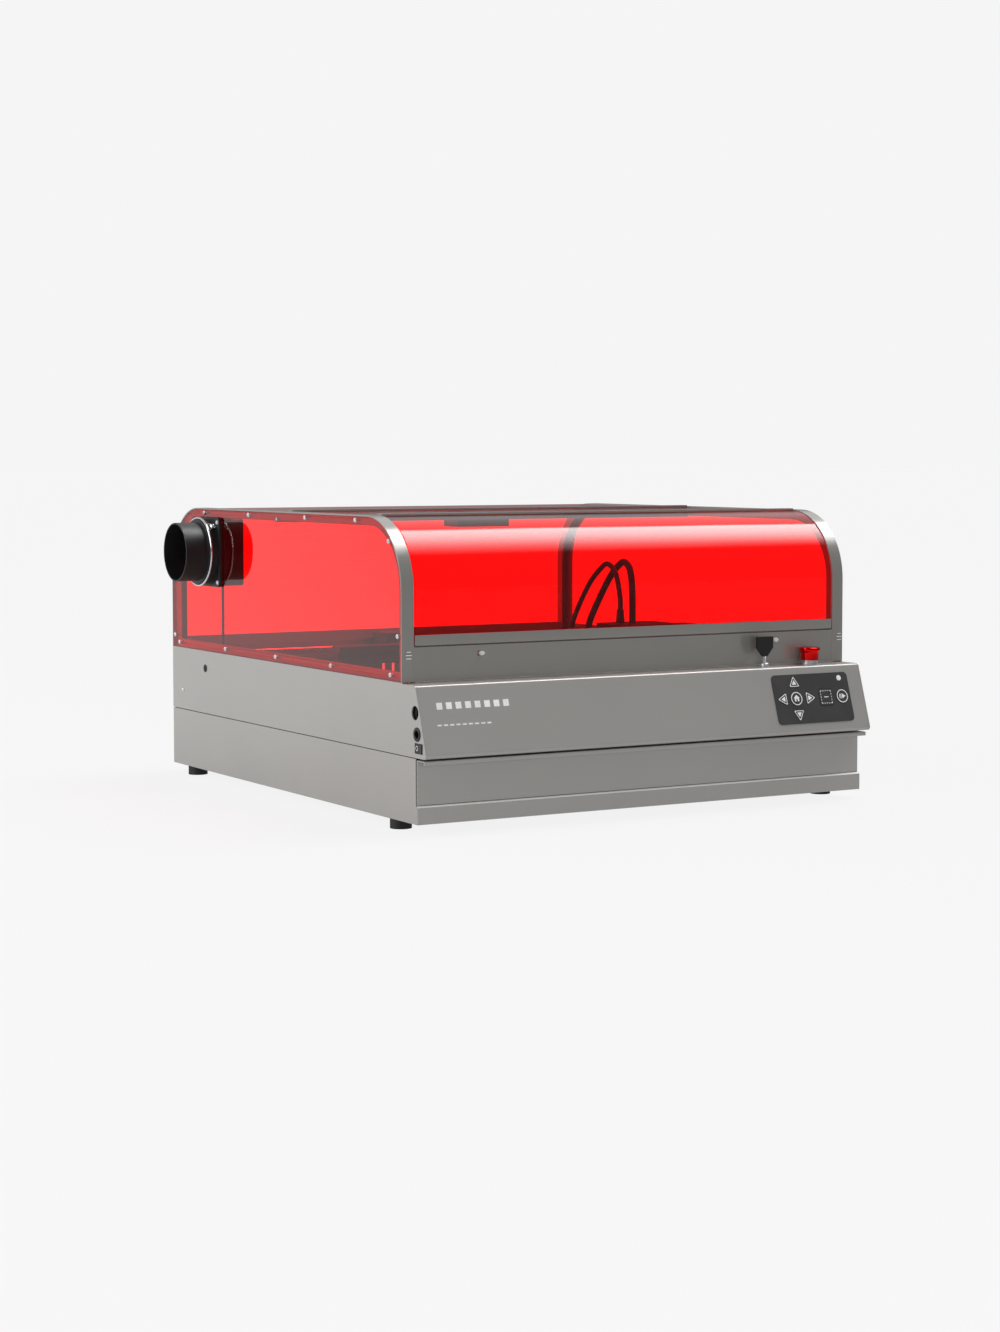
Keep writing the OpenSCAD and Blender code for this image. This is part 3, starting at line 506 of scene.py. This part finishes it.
# Screws: domed heads with a hexagon socket, in the places of the CAD node's screws
SCREW_HEAD_R = 2.75
SCREW_HEAD_H = 1.6
SOCKET_R = 1.45
SOCKET_DEPTH = 0.9
screws = Piece()
for low, high in islands("casing_screws"):
    outward = 1 if low.x + high.x > 0 else -1
    tip = high.x if outward > 0 else low.x
    length = high.x - low.x
    frame_here = frame_at((tip, (low.y + high.y) / 2, (low.z + high.z) / 2), (outward, 0, 0), UP)
    head = [ring_of(1.4), ring_of(1.4), ring_of(SCREW_HEAD_R), ring_of(SCREW_HEAD_R),
            ring_of(2.45), ring_of(1.85), hexagon(SOCKET_R), hexagon(SOCKET_R - 0.1)]
    depth = [-length, -SCREW_HEAD_H, -SCREW_HEAD_H, -1.15, -0.45, 0, 0, -SOCKET_DEPTH]
    screws.skin(frame_here, [[(x, y, z) for x, y in line] for line, z in zip(head, depth)])
screws.done("screw_heads", satin_steel, "case", 0.0, "casing_screws")

# Folded face of the base's front strip, with a rounded edge just under the drawer whose upward
# faces take a paler paint: a painted highlight
STRIP_FACE = 2.5
STRIP_BACK = 0.5
FOLD_R = 2.3
FOLD_GAP = 0.2
strip_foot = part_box("lower_case")[0].z / MM + FOLD_GAP
strip_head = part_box("drawer_front")[0].z / MM - FOLD_GAP
strip_end = half_w - FOLD_GAP
fold_outline = [(STRIP_BACK, strip_foot), (STRIP_FACE, strip_foot)]
for x, y in ring_of(FOLD_R, 32)[:9]:
    fold_outline.append((STRIP_FACE - FOLD_R + x, strip_head - FOLD_R + y))
fold_outline.append((STRIP_FACE - FOLD_R, strip_head - 1))
fold = Piece()
fold.cut_out(frame_at((0, 0, 0), LEFT, UP), fold_outline, -strip_end, strip_end)
folded = fold.done("strip_fold", light_paint, "case")
folded.data.materials.append(fold_highlight_paint)
# Faces that look upward take the paler paint, a painted highlight along the fold
for face in folded.data.polygons:
    if face.normal.z > 0.25:
        face.material_index = 1

# Wire clamp round the duct: a hoop, and a bail with its lever at the top front
duct_y, duct_z = centre_of("duct_flange").yz
CLAMP_R = 40.45
CLAMP_WIRE = 1.4
CLAMP_OUT = 13
BAIL_WIRE = 0.85
PIN_R = 1.0
LATCH_TURN = math.radians(47)
clamp = Piece()
duct_frame = frame_at((-half_w - CLAMP_OUT, duct_y, duct_z), LEFT, UP)
clamp.turned(duct_frame, [(CLAMP_R + x, y) for x, y in ring_of(CLAMP_WIRE, 16)], 96, closed=True)
latch = duct_frame @ Matrix.Rotation(LATCH_TURN - math.radians(90), 4, "Z")
for side in (-1, 1):
    bail = [(side * 6.5, 40.6, 0.2), (side * 3.4, 42.6, -4.5), (side * 0.9, 43.4, -9.6)]
    clamp.pipe(latch, bail, BAIL_WIRE)
clamp.bar(latch, -3.2, 3.2, 42.4, 44.6, -9.4, -7.2)
clamp.bar(latch, -1.8, 1.8, 40.4, 43.0, -9.4, -3.4)
clamp.pipe(latch, [(-3.6, 43.2, -8.4), (3.6, 43.2, -8.4)], PIN_R)
clamp.done("wire_clamp", chrome, "case", 0.3, "duct_clamp")

# Fan: a hub and seven blades, which get wider and flatter towards their tips
ROTOR_HUB_R = 16
ROTOR_R = 34.5
BLADES = 7
BLADE_STEPS = 6
BLADE_MIDDLE = 9
BLADE_CAMBER = 1.6
# Across a blade: share of its width, and half its thickness there
BLADE_SECTION = [(-0.5, 0.1), (-0.2, 0.9), (0.2, 0.8), (0.5, 0.1)]
rotor_low, rotor_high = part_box("fan_rotor")
rotor_x = (rotor_low.x - middle_x) / MM
rotor_depth = (rotor_high.x - rotor_low.x) / MM
rotor = Piece()
rotor_frame = frame_at((rotor_x, duct_y, duct_z), (1, 0, 0), UP)
rotor.turned(rotor_frame, [(13.5, 0), (15.4, 0.5), (ROTOR_HUB_R, 1.8),
                           (ROTOR_HUB_R, rotor_depth - 3), (2.6, rotor_depth - 3),
                           (2.6, rotor_depth)], 48)
for blade in range(BLADES):
    rings = []
    for step in range(BLADE_STEPS + 1):
        part = step / BLADE_STEPS
        radius = ROTOR_HUB_R - 0.6 + part * (ROTOR_R - ROTOR_HUB_R)
        chord = 15 + 5 * part
        pitch = math.radians(50 - 22 * part)
        sweep = 2 * math.pi * blade / BLADES + math.radians(14) * part * part
        underside = [(share, -thick) for share, thick in reversed(BLADE_SECTION)]
        points = []
        for share, thick in BLADE_SECTION + underside:
            height = thick + BLADE_CAMBER * (1 - 4 * share * share)
            across = share * chord * math.cos(pitch) - height * math.sin(pitch)
            along = share * chord * math.sin(pitch) + height * math.cos(pitch)
            angle = sweep + across / radius
            points.append((radius * math.cos(angle), radius * math.sin(angle),
                           BLADE_MIDDLE + along))
        rings.append(points)
    rotor.skin(rotor_frame, rings)
rotor.done("rotor_blades", black_plastic, "fan_rotor", 0.0, "fan_rotor")

# Key: a black bow on a bright threaded shaft, in a domed nut
key_x, key_y = centre_of("key").xy
BOW_FOOT = 3.4
BOW_HALF = 11
BOW_THICK = 1.6
BOW_LOW = LEDGE_Z + 12
BOW_WIDE = LEDGE_Z + 21.5
BOW_HIGH = LEDGE_Z + 34
bow = Piece()
bow_right = [(BOW_FOOT, BOW_LOW), (BOW_HALF, BOW_WIDE), (BOW_HALF, BOW_HIGH)]
bow_left = [(-x, z) for x, z in reversed(bow_right)]
bow.cut_out(frame_at((key_x, key_y, 0), FRONT, UP), bow_right + bow_left, -BOW_THICK, BOW_THICK)
bow.done("key_bow", black_plastic, "key_body", 0.3, "key")
THREAD_LOW = -9.9
THREAD_TURNS = 22
key_top = frame_at((key_x, key_y, LEDGE_Z), UP, FRONT)
shaft = Piece()
thread = [(1.2, THREAD_LOW - 0.1)]
for turn in range(THREAD_TURNS):
    thread += [(1.9, THREAD_LOW + turn), (1.65, THREAD_LOW + 0.5 + turn)]
thread.append((1.2, THREAD_LOW + 0.1 + THREAD_TURNS))
shaft.turned(key_top, thread, 24)
shaft.done("key_shaft", satin_steel, "key_body", 0.0, "key")
NUT_SOCKET = 2.0
nut = Piece()
nut.turned(key_top, [(NUT_SOCKET, -14), (4.7, -14), (4.7, 0), (5.3, 0), (5.3, 2.6), (4.9, 3.7),
                     (3.6, 4.6), (NUT_SOCKET, 4.8)], 36, closed=True)
nut.done("key_nut", satin_steel, "case", 0.0, "key_lock")

# Stop button: a red cap with a rim, over its bright collar
stop_x, stop_y = centre_of("stop_button").xy
stop_frame = frame_at((stop_x, stop_y, LEDGE_Z), UP, FRONT)
cap = Piece()
cap.turned(stop_frame, [(3, -12), (3, 10.5), (9.8, 10.5), (9.8, 5.3), (10.3, 5.3), (10.4, 13.4),
                        (10.8, 14.8), (11.7, 15.8), (12, 16.6), (12, 18.4), (11.7, 19.2),
                        (10.9, 19.8), (9.6, 20.1), (5, 20.5), (0.6, 20.6)], 72)
cap.done("stop_cap", stop_red, "stop_button", 0.0, "stop_button")

# Printed marks stand a hair above the surface they are on
INK = 0.06
CONSOLE_SLOPE = (0, -math.cos(CONSOLE_TILT), math.sin(CONSOLE_TILT))
CONSOLE_RISE = (0, math.sin(CONSOLE_TILT), math.cos(CONSOLE_TILT))
KEY_FACE = 1.2
ICON_X = 191.4
ICON_DOWN = 35.0
ARROW_STEP = 18.8
PLAY_X = 255.4
FRAME_X = 232.7
RING_R = 7.6
RING_INNER_R = 6.6


def on_console(x, down, lift):
    """A frame on the console's sloped face, that far below the slope's top."""
    y = CONSOLE_EDGE[0] - math.sin(CONSOLE_TILT) * down - math.cos(CONSOLE_TILT) * lift
    z = CONSOLE_EDGE[1] - math.cos(CONSOLE_TILT) * down + math.sin(CONSOLE_TILT) * lift
    return frame_at((x, y, z), CONSOLE_SLOPE, CONSOLE_RISE)


def triangle(size):
    """An outline that points up, with blunted corners."""
    line = []
    for corner in range(3):
        for step in (-1, 1):
            angle = math.radians(90 + 120 * corner + 5 * step)
            line.append((size * math.cos(angle), size * math.sin(angle) - 1))
    return line


for turn, (name, right, below) in enumerate((("up", 0, -1), ("left", -1, 0), ("down", 0, 1),
                                             ("right", 1, 0))):
    mark = Piece()
    spot = on_console(ICON_X + ARROW_STEP * right, ICON_DOWN + ARROW_STEP * below, KEY_FACE)
    spot = spot @ Matrix.Rotation(math.radians(90 * turn), 4, "Z")
    mark.hoop(spot, triangle(7.0), triangle(5.6), 0, INK)
    mark.cut_out(spot, triangle(3.2), 0, INK)
    mark.done("mark_" + name, white_ink, "key_" + name)

home = Piece()
home_frame = on_console(ICON_X, ICON_DOWN, KEY_FACE)
home.hoop(home_frame, ring_of(RING_R, 48), ring_of(RING_INNER_R, 48), 0, INK)
home.cut_out(home_frame, [(-3.1, -3.2), (-0.9, -3.2), (-0.9, -0.4), (0.9, -0.4), (0.9, -3.2),
                          (3.1, -3.2), (3.1, 0.6), (4.1, 0.6), (0, 4.3), (-4.1, 0.6),
                          (-3.1, 0.6)], 0, INK)
home.done("mark_home", white_ink, "key_home")

# A dashed square, with one short bar where the key has its word
HALF_BORDER = 7.2
HALF_DASH = 0.75
HALF_LINE = 0.4
DASH_STEP = 3.2
border = Piece()
border_frame = on_console(FRAME_X, ICON_DOWN, KEY_FACE)
for k in (-2, -1, 0, 1, 2):
    dash = (k * DASH_STEP - HALF_DASH, k * DASH_STEP + HALF_DASH)
    for edge in (-HALF_BORDER, HALF_BORDER):
        line = (edge - HALF_LINE, edge + HALF_LINE)
        border.bar(border_frame, *dash, *line, 0, INK)
        border.bar(border_frame, *line, *dash, 0, INK)
border.bar(border_frame, -3, 3, -0.5, 0.5, 0, INK)
border.done("mark_frame", white_ink, "key_frame")

play = Piece()
play_frame = on_console(PLAY_X, ICON_DOWN, KEY_FACE)
play.hoop(play_frame, ring_of(RING_R, 48), ring_of(RING_INNER_R, 48), 0, INK)
for left in (-4.0, -2.2):
    play.bar(play_frame, left, left + 0.9, -2.6, 2.6, 0, INK)
play.cut_out(play_frame, [(-0.2, -3), (4.6, 0), (-0.2, 3)], 0, INK)
play.done("mark_play", white_ink, "key_play")

LAMP_X = 255.2
LAMP_DOWN = 13.7
status_lamp = Piece()
status_lamp.turned(on_console(LAMP_X, LAMP_DOWN, 0.8),
                   [(3.1, -0.2), (3.1, 0.2), (2.7, 0.32), (1.4, 0.42), (0.2, 0.45)], 32)
status_lamp.done("status_lamp", lamp_white, "case")

# Rows of plain blocks and bars stand where the console has lettering: how many there are,
# the first one's x, the step, how far down the slope, and half a block's width and height
MARK_ROWS = [(8, -263, 11.4, 20.4, 3.4, 3.6), (9, -266, 7.4, 40.8, 2.4, 0.8)]
lettering = Piece()
for count, first, step, down, wide, high in MARK_ROWS:
    for k in range(count):
        block_frame = on_console(first + k * step, down, 0)
        lettering.bar(block_frame, -wide, wide, -high, high, 0, INK)
lettering.done("console_marks", white_ink, "case")
NOTICE_X = half_w - 7
NOTICE_ROWS = [(188, 5), (184.5, 7), (181, 6)]
notices = Piece()
for side in (-1, 1):
    for z, width in NOTICE_ROWS:
        row_frame = frame_at((side * NOTICE_X, panel_face, z), FRONT, UP)
        notices.bar(row_frame, -width / 2, width / 2, -0.4, 0.4, 0, INK)
notices.done("arch_bars", white_ink, "case")

# Blanking plug in the left side, and the pale lid catches in their slots
PLUG_AT = (-half_w, 540, 135)
plug = Piece()
plug.turned(frame_at(PLUG_AT, LEFT, UP), [(3.5, -2), (3.5, 0), (4.6, 0), (4.6, 0.5), (3.6, 1.1),
                                          (1.8, 1.4), (0.3, 1.45)], 32)
plug.done("blanking_plug", rubber, "case")
CATCH_X = 192
CATCH_Z = 183.6
CATCH_STRETCH = 1.35
catches = Piece()
for side in (-1, 1):
    catch_frame = frame_at((side * CATCH_X, panel_face + 1.4, CATCH_Z), FRONT, UP)
    rings = []
    for radius, z in ((2.35, -3), (2.35, 0.7), (2.0, 1.15), (0.9, 1.35)):
        rings.append([(CATCH_STRETCH * px, py, z) for px, py in ring_of(radius, 28)])
    catches.skin(catch_frame, rings)
catches.done("lid_catches", pale_plastic, "case")

# Sockets at the console's left end
SOCKET_SIDE = -half_w
inlet = Piece()
inlet_frame = frame_at((SOCKET_SIDE, -2, 105), LEFT, UP)
inlet.turned(inlet_frame, [(4.5, -0.6), (6.5, -0.6), (6.5, 0.75), (6.2, 0.95), (4.8, 0.95),
                           (4.5, 0.75)], 40, closed=True)
inlet.turned(inlet_frame, [(1.1, -9.5), (1.1, -3.4), (0.8, -2.9), (0.2, -2.7)], 20)
inlet.done("inlet_ring", black_alloy, "case")
port = Piece()
port_frame = frame_at((SOCKET_SIDE, 2.6, 127), LEFT, UP)
port.bar(port_frame, 0.2, 1.2, -3.6, 3.6, -9.5, -4.2)
port.done("port_tongue", rubber, "case")
# The rocker is tipped about its pivot, and its face slopes a little to each end
ROCKER_TIP = math.radians(6)
ROCKER_SLOPE = math.radians(4.3)
rocker_pivot = frame_at((SOCKET_SIDE + 4.5, -5.2, 90.5), LEFT, UP)
mark_frame = rocker_pivot @ Matrix.Rotation(-ROCKER_TIP, 4, "Y")
mark_frame = mark_frame @ Matrix.Translation((-4.6, 0, 4.42))
mark_frame = mark_frame @ Matrix.Rotation(ROCKER_SLOPE, 4, "Y")
rocker_mark = Piece()
rocker_mark.hoop(mark_frame, ring_of(2.7, 32), ring_of(2.0, 32), 0, INK)
rocker_mark.done("rocker_ring", white_ink, "power_rocker")

# The head's cables, smooth and round along their routes, and the boot on the thin one
THIN_CABLE = [(91, 200, 212), (91, 200, 224), (91, 205, 243), (91, 213, 258), (89, 226, 265),
              (88, 240, 258), (85, 257, 242), (81, 273, 217), (77, 283, 194), (76, 284, 184.5)]
THICK_CABLE = [(108, 200, 197), (108, 200, 223), (110, 205, 246), (111, 212, 261),
               (110, 222, 267), (109, 231, 263), (106, 242, 252), (104, 257, 233),
               (100, 277, 201), (99, 284, 184.5)]


def smooth_route(points, steps=6):
    """A curve through the points, which starts and ends at the first and the last one."""
    points = [Vector(p) for p in points]
    ends = [points[0]] + points + [points[-1]]
    curve = []
    for before, start, stop, after in zip(ends, ends[1:], ends[2:], ends[3:]):
        for step in range(steps):
            t = step / steps
            curve.append(0.5 * (2 * start + (stop - before) * t
                                + (2 * before - 5 * start + 4 * stop - after) * t * t
                                + (3 * start - before - 3 * stop + after) * t * t * t))
    return curve + [points[-1]]


machine = frame_at((0, 0, 0), UP, (0, 1, 0))
for name, route, radius in (("thin_cable", THIN_CABLE, 3.0), ("thick_cable", THICK_CABLE, 3.9)):
    cable = Piece()
    cable.pipe(machine, smooth_route(route), radius)
    cable.done(name, rubber, "head", 0.0, "head_cables")
boot = Piece()
boot.turned(frame_at(THIN_CABLE[0], UP, FRONT),
            [(5.2, -15), (5.2, -13.5), (4.9, -12), (4.1, 0), (3.9, 0.6), (3.2, 0.8),
             (0.5, 0.8)], 32)
boot.done("cable_boot", rubber, "head", 0.0, "head_cables")

# Inner plates of the arches, seen through the lid's edge
LINING_DEPTH = 10.0
case_back = (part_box("arch_right")[1].y - front_y) / MM
frame_in = (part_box("front_panel")[1].x - middle_x) / MM


def hood_line(inset):
    """The hood's outline from the front sill to the rear one, an inset inside the outermost."""
    centre = CASE_TOP - HOOD_R
    quarter = ring_of(HOOD_R - inset, 48)[:13]
    line = [(SETBACK + inset, SILL_Z)]
    line += [(SETBACK + HOOD_R - y, centre + z) for y, z in quarter]
    line += [(case_back - HOOD_R + y, centre + z) for y, z in reversed(quarter)]
    return line + [(case_back - inset, SILL_Z)]


lining = Piece()
for side in (-1, 1):
    outer = hood_line(SHEET)
    inner = hood_line(SHEET + LINING_DEPTH)
    loops = [[(side * x, y, z) for y, z in outer + inner[::-1]] for x in (frame_in, frame_in + 1)]
    lining.skin(machine, loops)
lining.done("arch_linings", frame_paint, "case")

# Camera lens under the rear cover
lens_x, lens_y = centre_of("camera_module").xy
lens_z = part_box("camera_module")[0].z / MM
lens = Piece()
lens.turned(frame_at((lens_x, lens_y, lens_z), DOWN, FRONT),
            [(4.6, -4), (4.6, 0.4), (3.8, 0.4), (3.4, -0.4), (2.0, -0.1), (0.3, 0)], 32)
lens.done("camera_lens", lens_glass, "case")

# ---- floor, light and camera ----


def empty_tree(owner):
    """The node tree of a material or a world, with nothing in it."""
    owner.use_nodes = True
    owner.node_tree.nodes.clear()
    return owner.node_tree


def plain_shader(tree, kind, grey=1.0):
    made = tree.nodes.new(kind)
    made.inputs["Color"].default_value = (grey, grey, grey, 1)
    return made


def ramp(tree, value, start, end, low, high):
    """value from start to end becomes low to high, smoothly, and stays between them."""
    made = tree.nodes.new("ShaderNodeMapRange")
    made.interpolation_type = "SMOOTHSTEP"
    made.inputs["From Min"].default_value = start
    made.inputs["From Max"].default_value = end
    made.inputs["To Min"].default_value = low
    made.inputs["To Max"].default_value = high
    tree.links.new(value, made.inputs["Value"])
    return made.outputs["Result"]


def maths(tree, operation, first, second):
    made = tree.nodes.new("ShaderNodeMath")
    made.operation = operation
    for socket, value in zip(made.inputs, (first, second)):
        if isinstance(value, float):
            socket.default_value = value
        else:
            tree.links.new(value, socket)
    return made.outputs["Value"]


def towards(tree, coordinates, direction):
    """How far a point or a direction goes along another direction."""
    made = tree.nodes.new("ShaderNodeVectorMath")
    made.operation = "DOT_PRODUCT"
    tree.links.new(coordinates, made.inputs[0])
    made.inputs[1].default_value = direction
    return made.outputs["Value"]


# Brightness of what the camera sees round the machine
BACKDROP = 0.913
FLOOR_SEEN = 0.86
FLOOR_SHADED = 0.055
# Brightness of what shines on it: the floor, the two sides, the overhead light and the
# glow behind that one
FLOOR_BOUNCE = 0.18
NEAR_GLOW = 0.38
DARK_SIDE = 0.15
LIT_SIDE = 0.60
BAND = 9.0
BEHIND = 0.9
BRIGHT_SIDE = Vector((-0.72, 0.69, 0.0))


def stage_floor():
    """A wide pale floor that looks the same out to the horizon.

    The camera sees it plain and pale. To everything else it is dim in front and bright
    at the back left, as a studio floor is between a dark side and a lit one.
    """
    reach = 60.0
    mesh = bpy.data.meshes.new("floor")
    corners = [(-reach, -reach, 0), (reach, -reach, 0), (reach, reach, 0), (-reach, reach, 0)]
    mesh.from_pydata(corners, [], [(0, 1, 2, 3)])
    floor = bpy.data.objects.new("floor", mesh)
    bpy.context.scene.collection.objects.link(floor)
    material = bpy.data.materials.new("floor")
    tree = empty_tree(material)
    place = tree.nodes.new("ShaderNodeNewGeometry").outputs["Position"]
    shaded = plain_shader(tree, "ShaderNodeBsdfDiffuse", FLOOR_SHADED)
    seen = plain_shader(tree, "ShaderNodeEmission", FLOOR_SEEN)
    bounced = plain_shader(tree, "ShaderNodeBsdfDiffuse", FLOOR_BOUNCE)
    lit = plain_shader(tree, "ShaderNodeEmission")
    side = towards(tree, place, BRIGHT_SIDE)
    distance = tree.nodes.new("ShaderNodeVectorMath")
    distance.operation = "LENGTH"
    tree.links.new(place, distance.inputs[0])
    nearby = ramp(tree, distance.outputs["Value"], 0.7, 2.4, NEAR_GLOW, 0.0)
    glow = maths(tree, "ADD", ramp(tree, side, 0.3, 2.2, 0.0, LIT_SIDE), nearby)
    tree.links.new(glow, lit.inputs["Strength"])
    to_camera = tree.nodes.new("ShaderNodeAddShader")
    to_others = tree.nodes.new("ShaderNodeAddShader")
    tree.links.new(shaded.outputs[0], to_camera.inputs[0])
    tree.links.new(seen.outputs[0], to_camera.inputs[1])
    tree.links.new(bounced.outputs[0], to_others.inputs[0])
    tree.links.new(lit.outputs[0], to_others.inputs[1])
    mix = tree.nodes.new("ShaderNodeMixShader")
    ray = tree.nodes.new("ShaderNodeLightPath")
    tree.links.new(ray.outputs["Is Camera Ray"], mix.inputs["Fac"])
    tree.links.new(to_others.outputs[0], mix.inputs[1])
    tree.links.new(to_camera.outputs[0], mix.inputs[2])
    output = tree.nodes.new("ShaderNodeOutputMaterial")
    tree.links.new(mix.outputs[0], output.inputs["Surface"])
    mesh.materials.append(material)


def studio_world():
    """Pale surroundings: a lit side, a dim side, and a long soft light overhead.

    A paler glow carries on behind the overhead light, down towards the horizon. The
    camera sees an even backdrop in their place.
    """
    world = bpy.data.worlds.new("studio")
    bpy.context.scene.world = world
    tree = empty_tree(world)
    direction = tree.nodes.new("ShaderNodeTexCoord").outputs["Generated"]
    side = towards(tree, direction, BRIGHT_SIDE)
    around = ramp(tree, side, 0.05, 0.95, DARK_SIDE, LIT_SIDE)
    axes = tree.nodes.new("ShaderNodeSeparateXYZ")
    tree.links.new(direction, axes.inputs["Vector"])
    # the overhead light runs across the machine; lean is its angle back from upright
    lean = maths(tree, "ARCTAN2", axes.outputs["Y"], axes.outputs["Z"])
    rise = ramp(tree, lean, math.radians(-36), math.radians(4), 0.0, 1.0)
    fall = ramp(tree, lean, math.radians(13), math.radians(19), 1.0, BEHIND / BAND)
    end = ramp(tree, lean, math.radians(48), math.radians(76), 1.0, 0.0)
    near_end = ramp(tree, axes.outputs["X"], 0.20, 0.34, 0.0, 1.0)
    far_end = ramp(tree, axes.outputs["X"], 0.72, 0.86, 1.0, 0.0)
    band = rise
    for limit in (fall, end, near_end, far_end, BAND):
        band = maths(tree, "MULTIPLY", band, limit)
    total = maths(tree, "ADD", around, band)
    fill = plain_shader(tree, "ShaderNodeBackground")
    tree.links.new(total, fill.inputs["Strength"])
    backdrop = plain_shader(tree, "ShaderNodeBackground", BACKDROP)
    mix = tree.nodes.new("ShaderNodeMixShader")
    ray = tree.nodes.new("ShaderNodeLightPath")
    tree.links.new(ray.outputs["Is Camera Ray"], mix.inputs["Fac"])
    tree.links.new(fill.outputs[0], mix.inputs[1])
    tree.links.new(backdrop.outputs[0], mix.inputs[2])
    output = tree.nodes.new("ShaderNodeOutputWorld")
    tree.links.new(mix.outputs[0], output.inputs["Surface"])


def softbox(name, place, target, size, power, mirrored=True):
    """A rectangular lamp at place that looks at target; shiny faces may mirror it."""
    data = bpy.data.lights.new(name, "AREA")
    data.shape = "RECTANGLE"
    data.size = size[0]
    data.size_y = size[1]
    data.energy = power
    lamp = bpy.data.objects.new(name, data)
    lamp.visible_glossy = mirrored
    lamp.location = place
    lamp.rotation_euler = (Vector(target) - Vector(place)).to_track_quat("-Z", "Y").to_euler()
    bpy.context.scene.collection.objects.link(lamp)


stage_floor()
studio_world()
softbox("key_left", (-3.2, 0.6, 1.4), (0, 0, 0.15), (2.4, 1.6), 63)
softbox("front_fill", (-0.9, -3.4, 0.5), (0, 0, 0.1), (2.4, 1.0), 30, mirrored=False)

camera_data = bpy.data.cameras.new("camera")
camera = bpy.data.objects.new("camera", camera_data)
camera.location = (-1.5200, -2.6485, 0.3940)
camera.rotation_euler = (math.radians(86.13), 0, math.radians(-30.52))
camera_data.sensor_width = 36
camera_data.lens = 69.73
camera_data.shift_x = -0.01578
camera_data.shift_y = -0.02806
bpy.context.scene.collection.objects.link(camera)
bpy.context.scene.camera = camera
bpy.context.scene.view_settings.view_transform = "Standard"
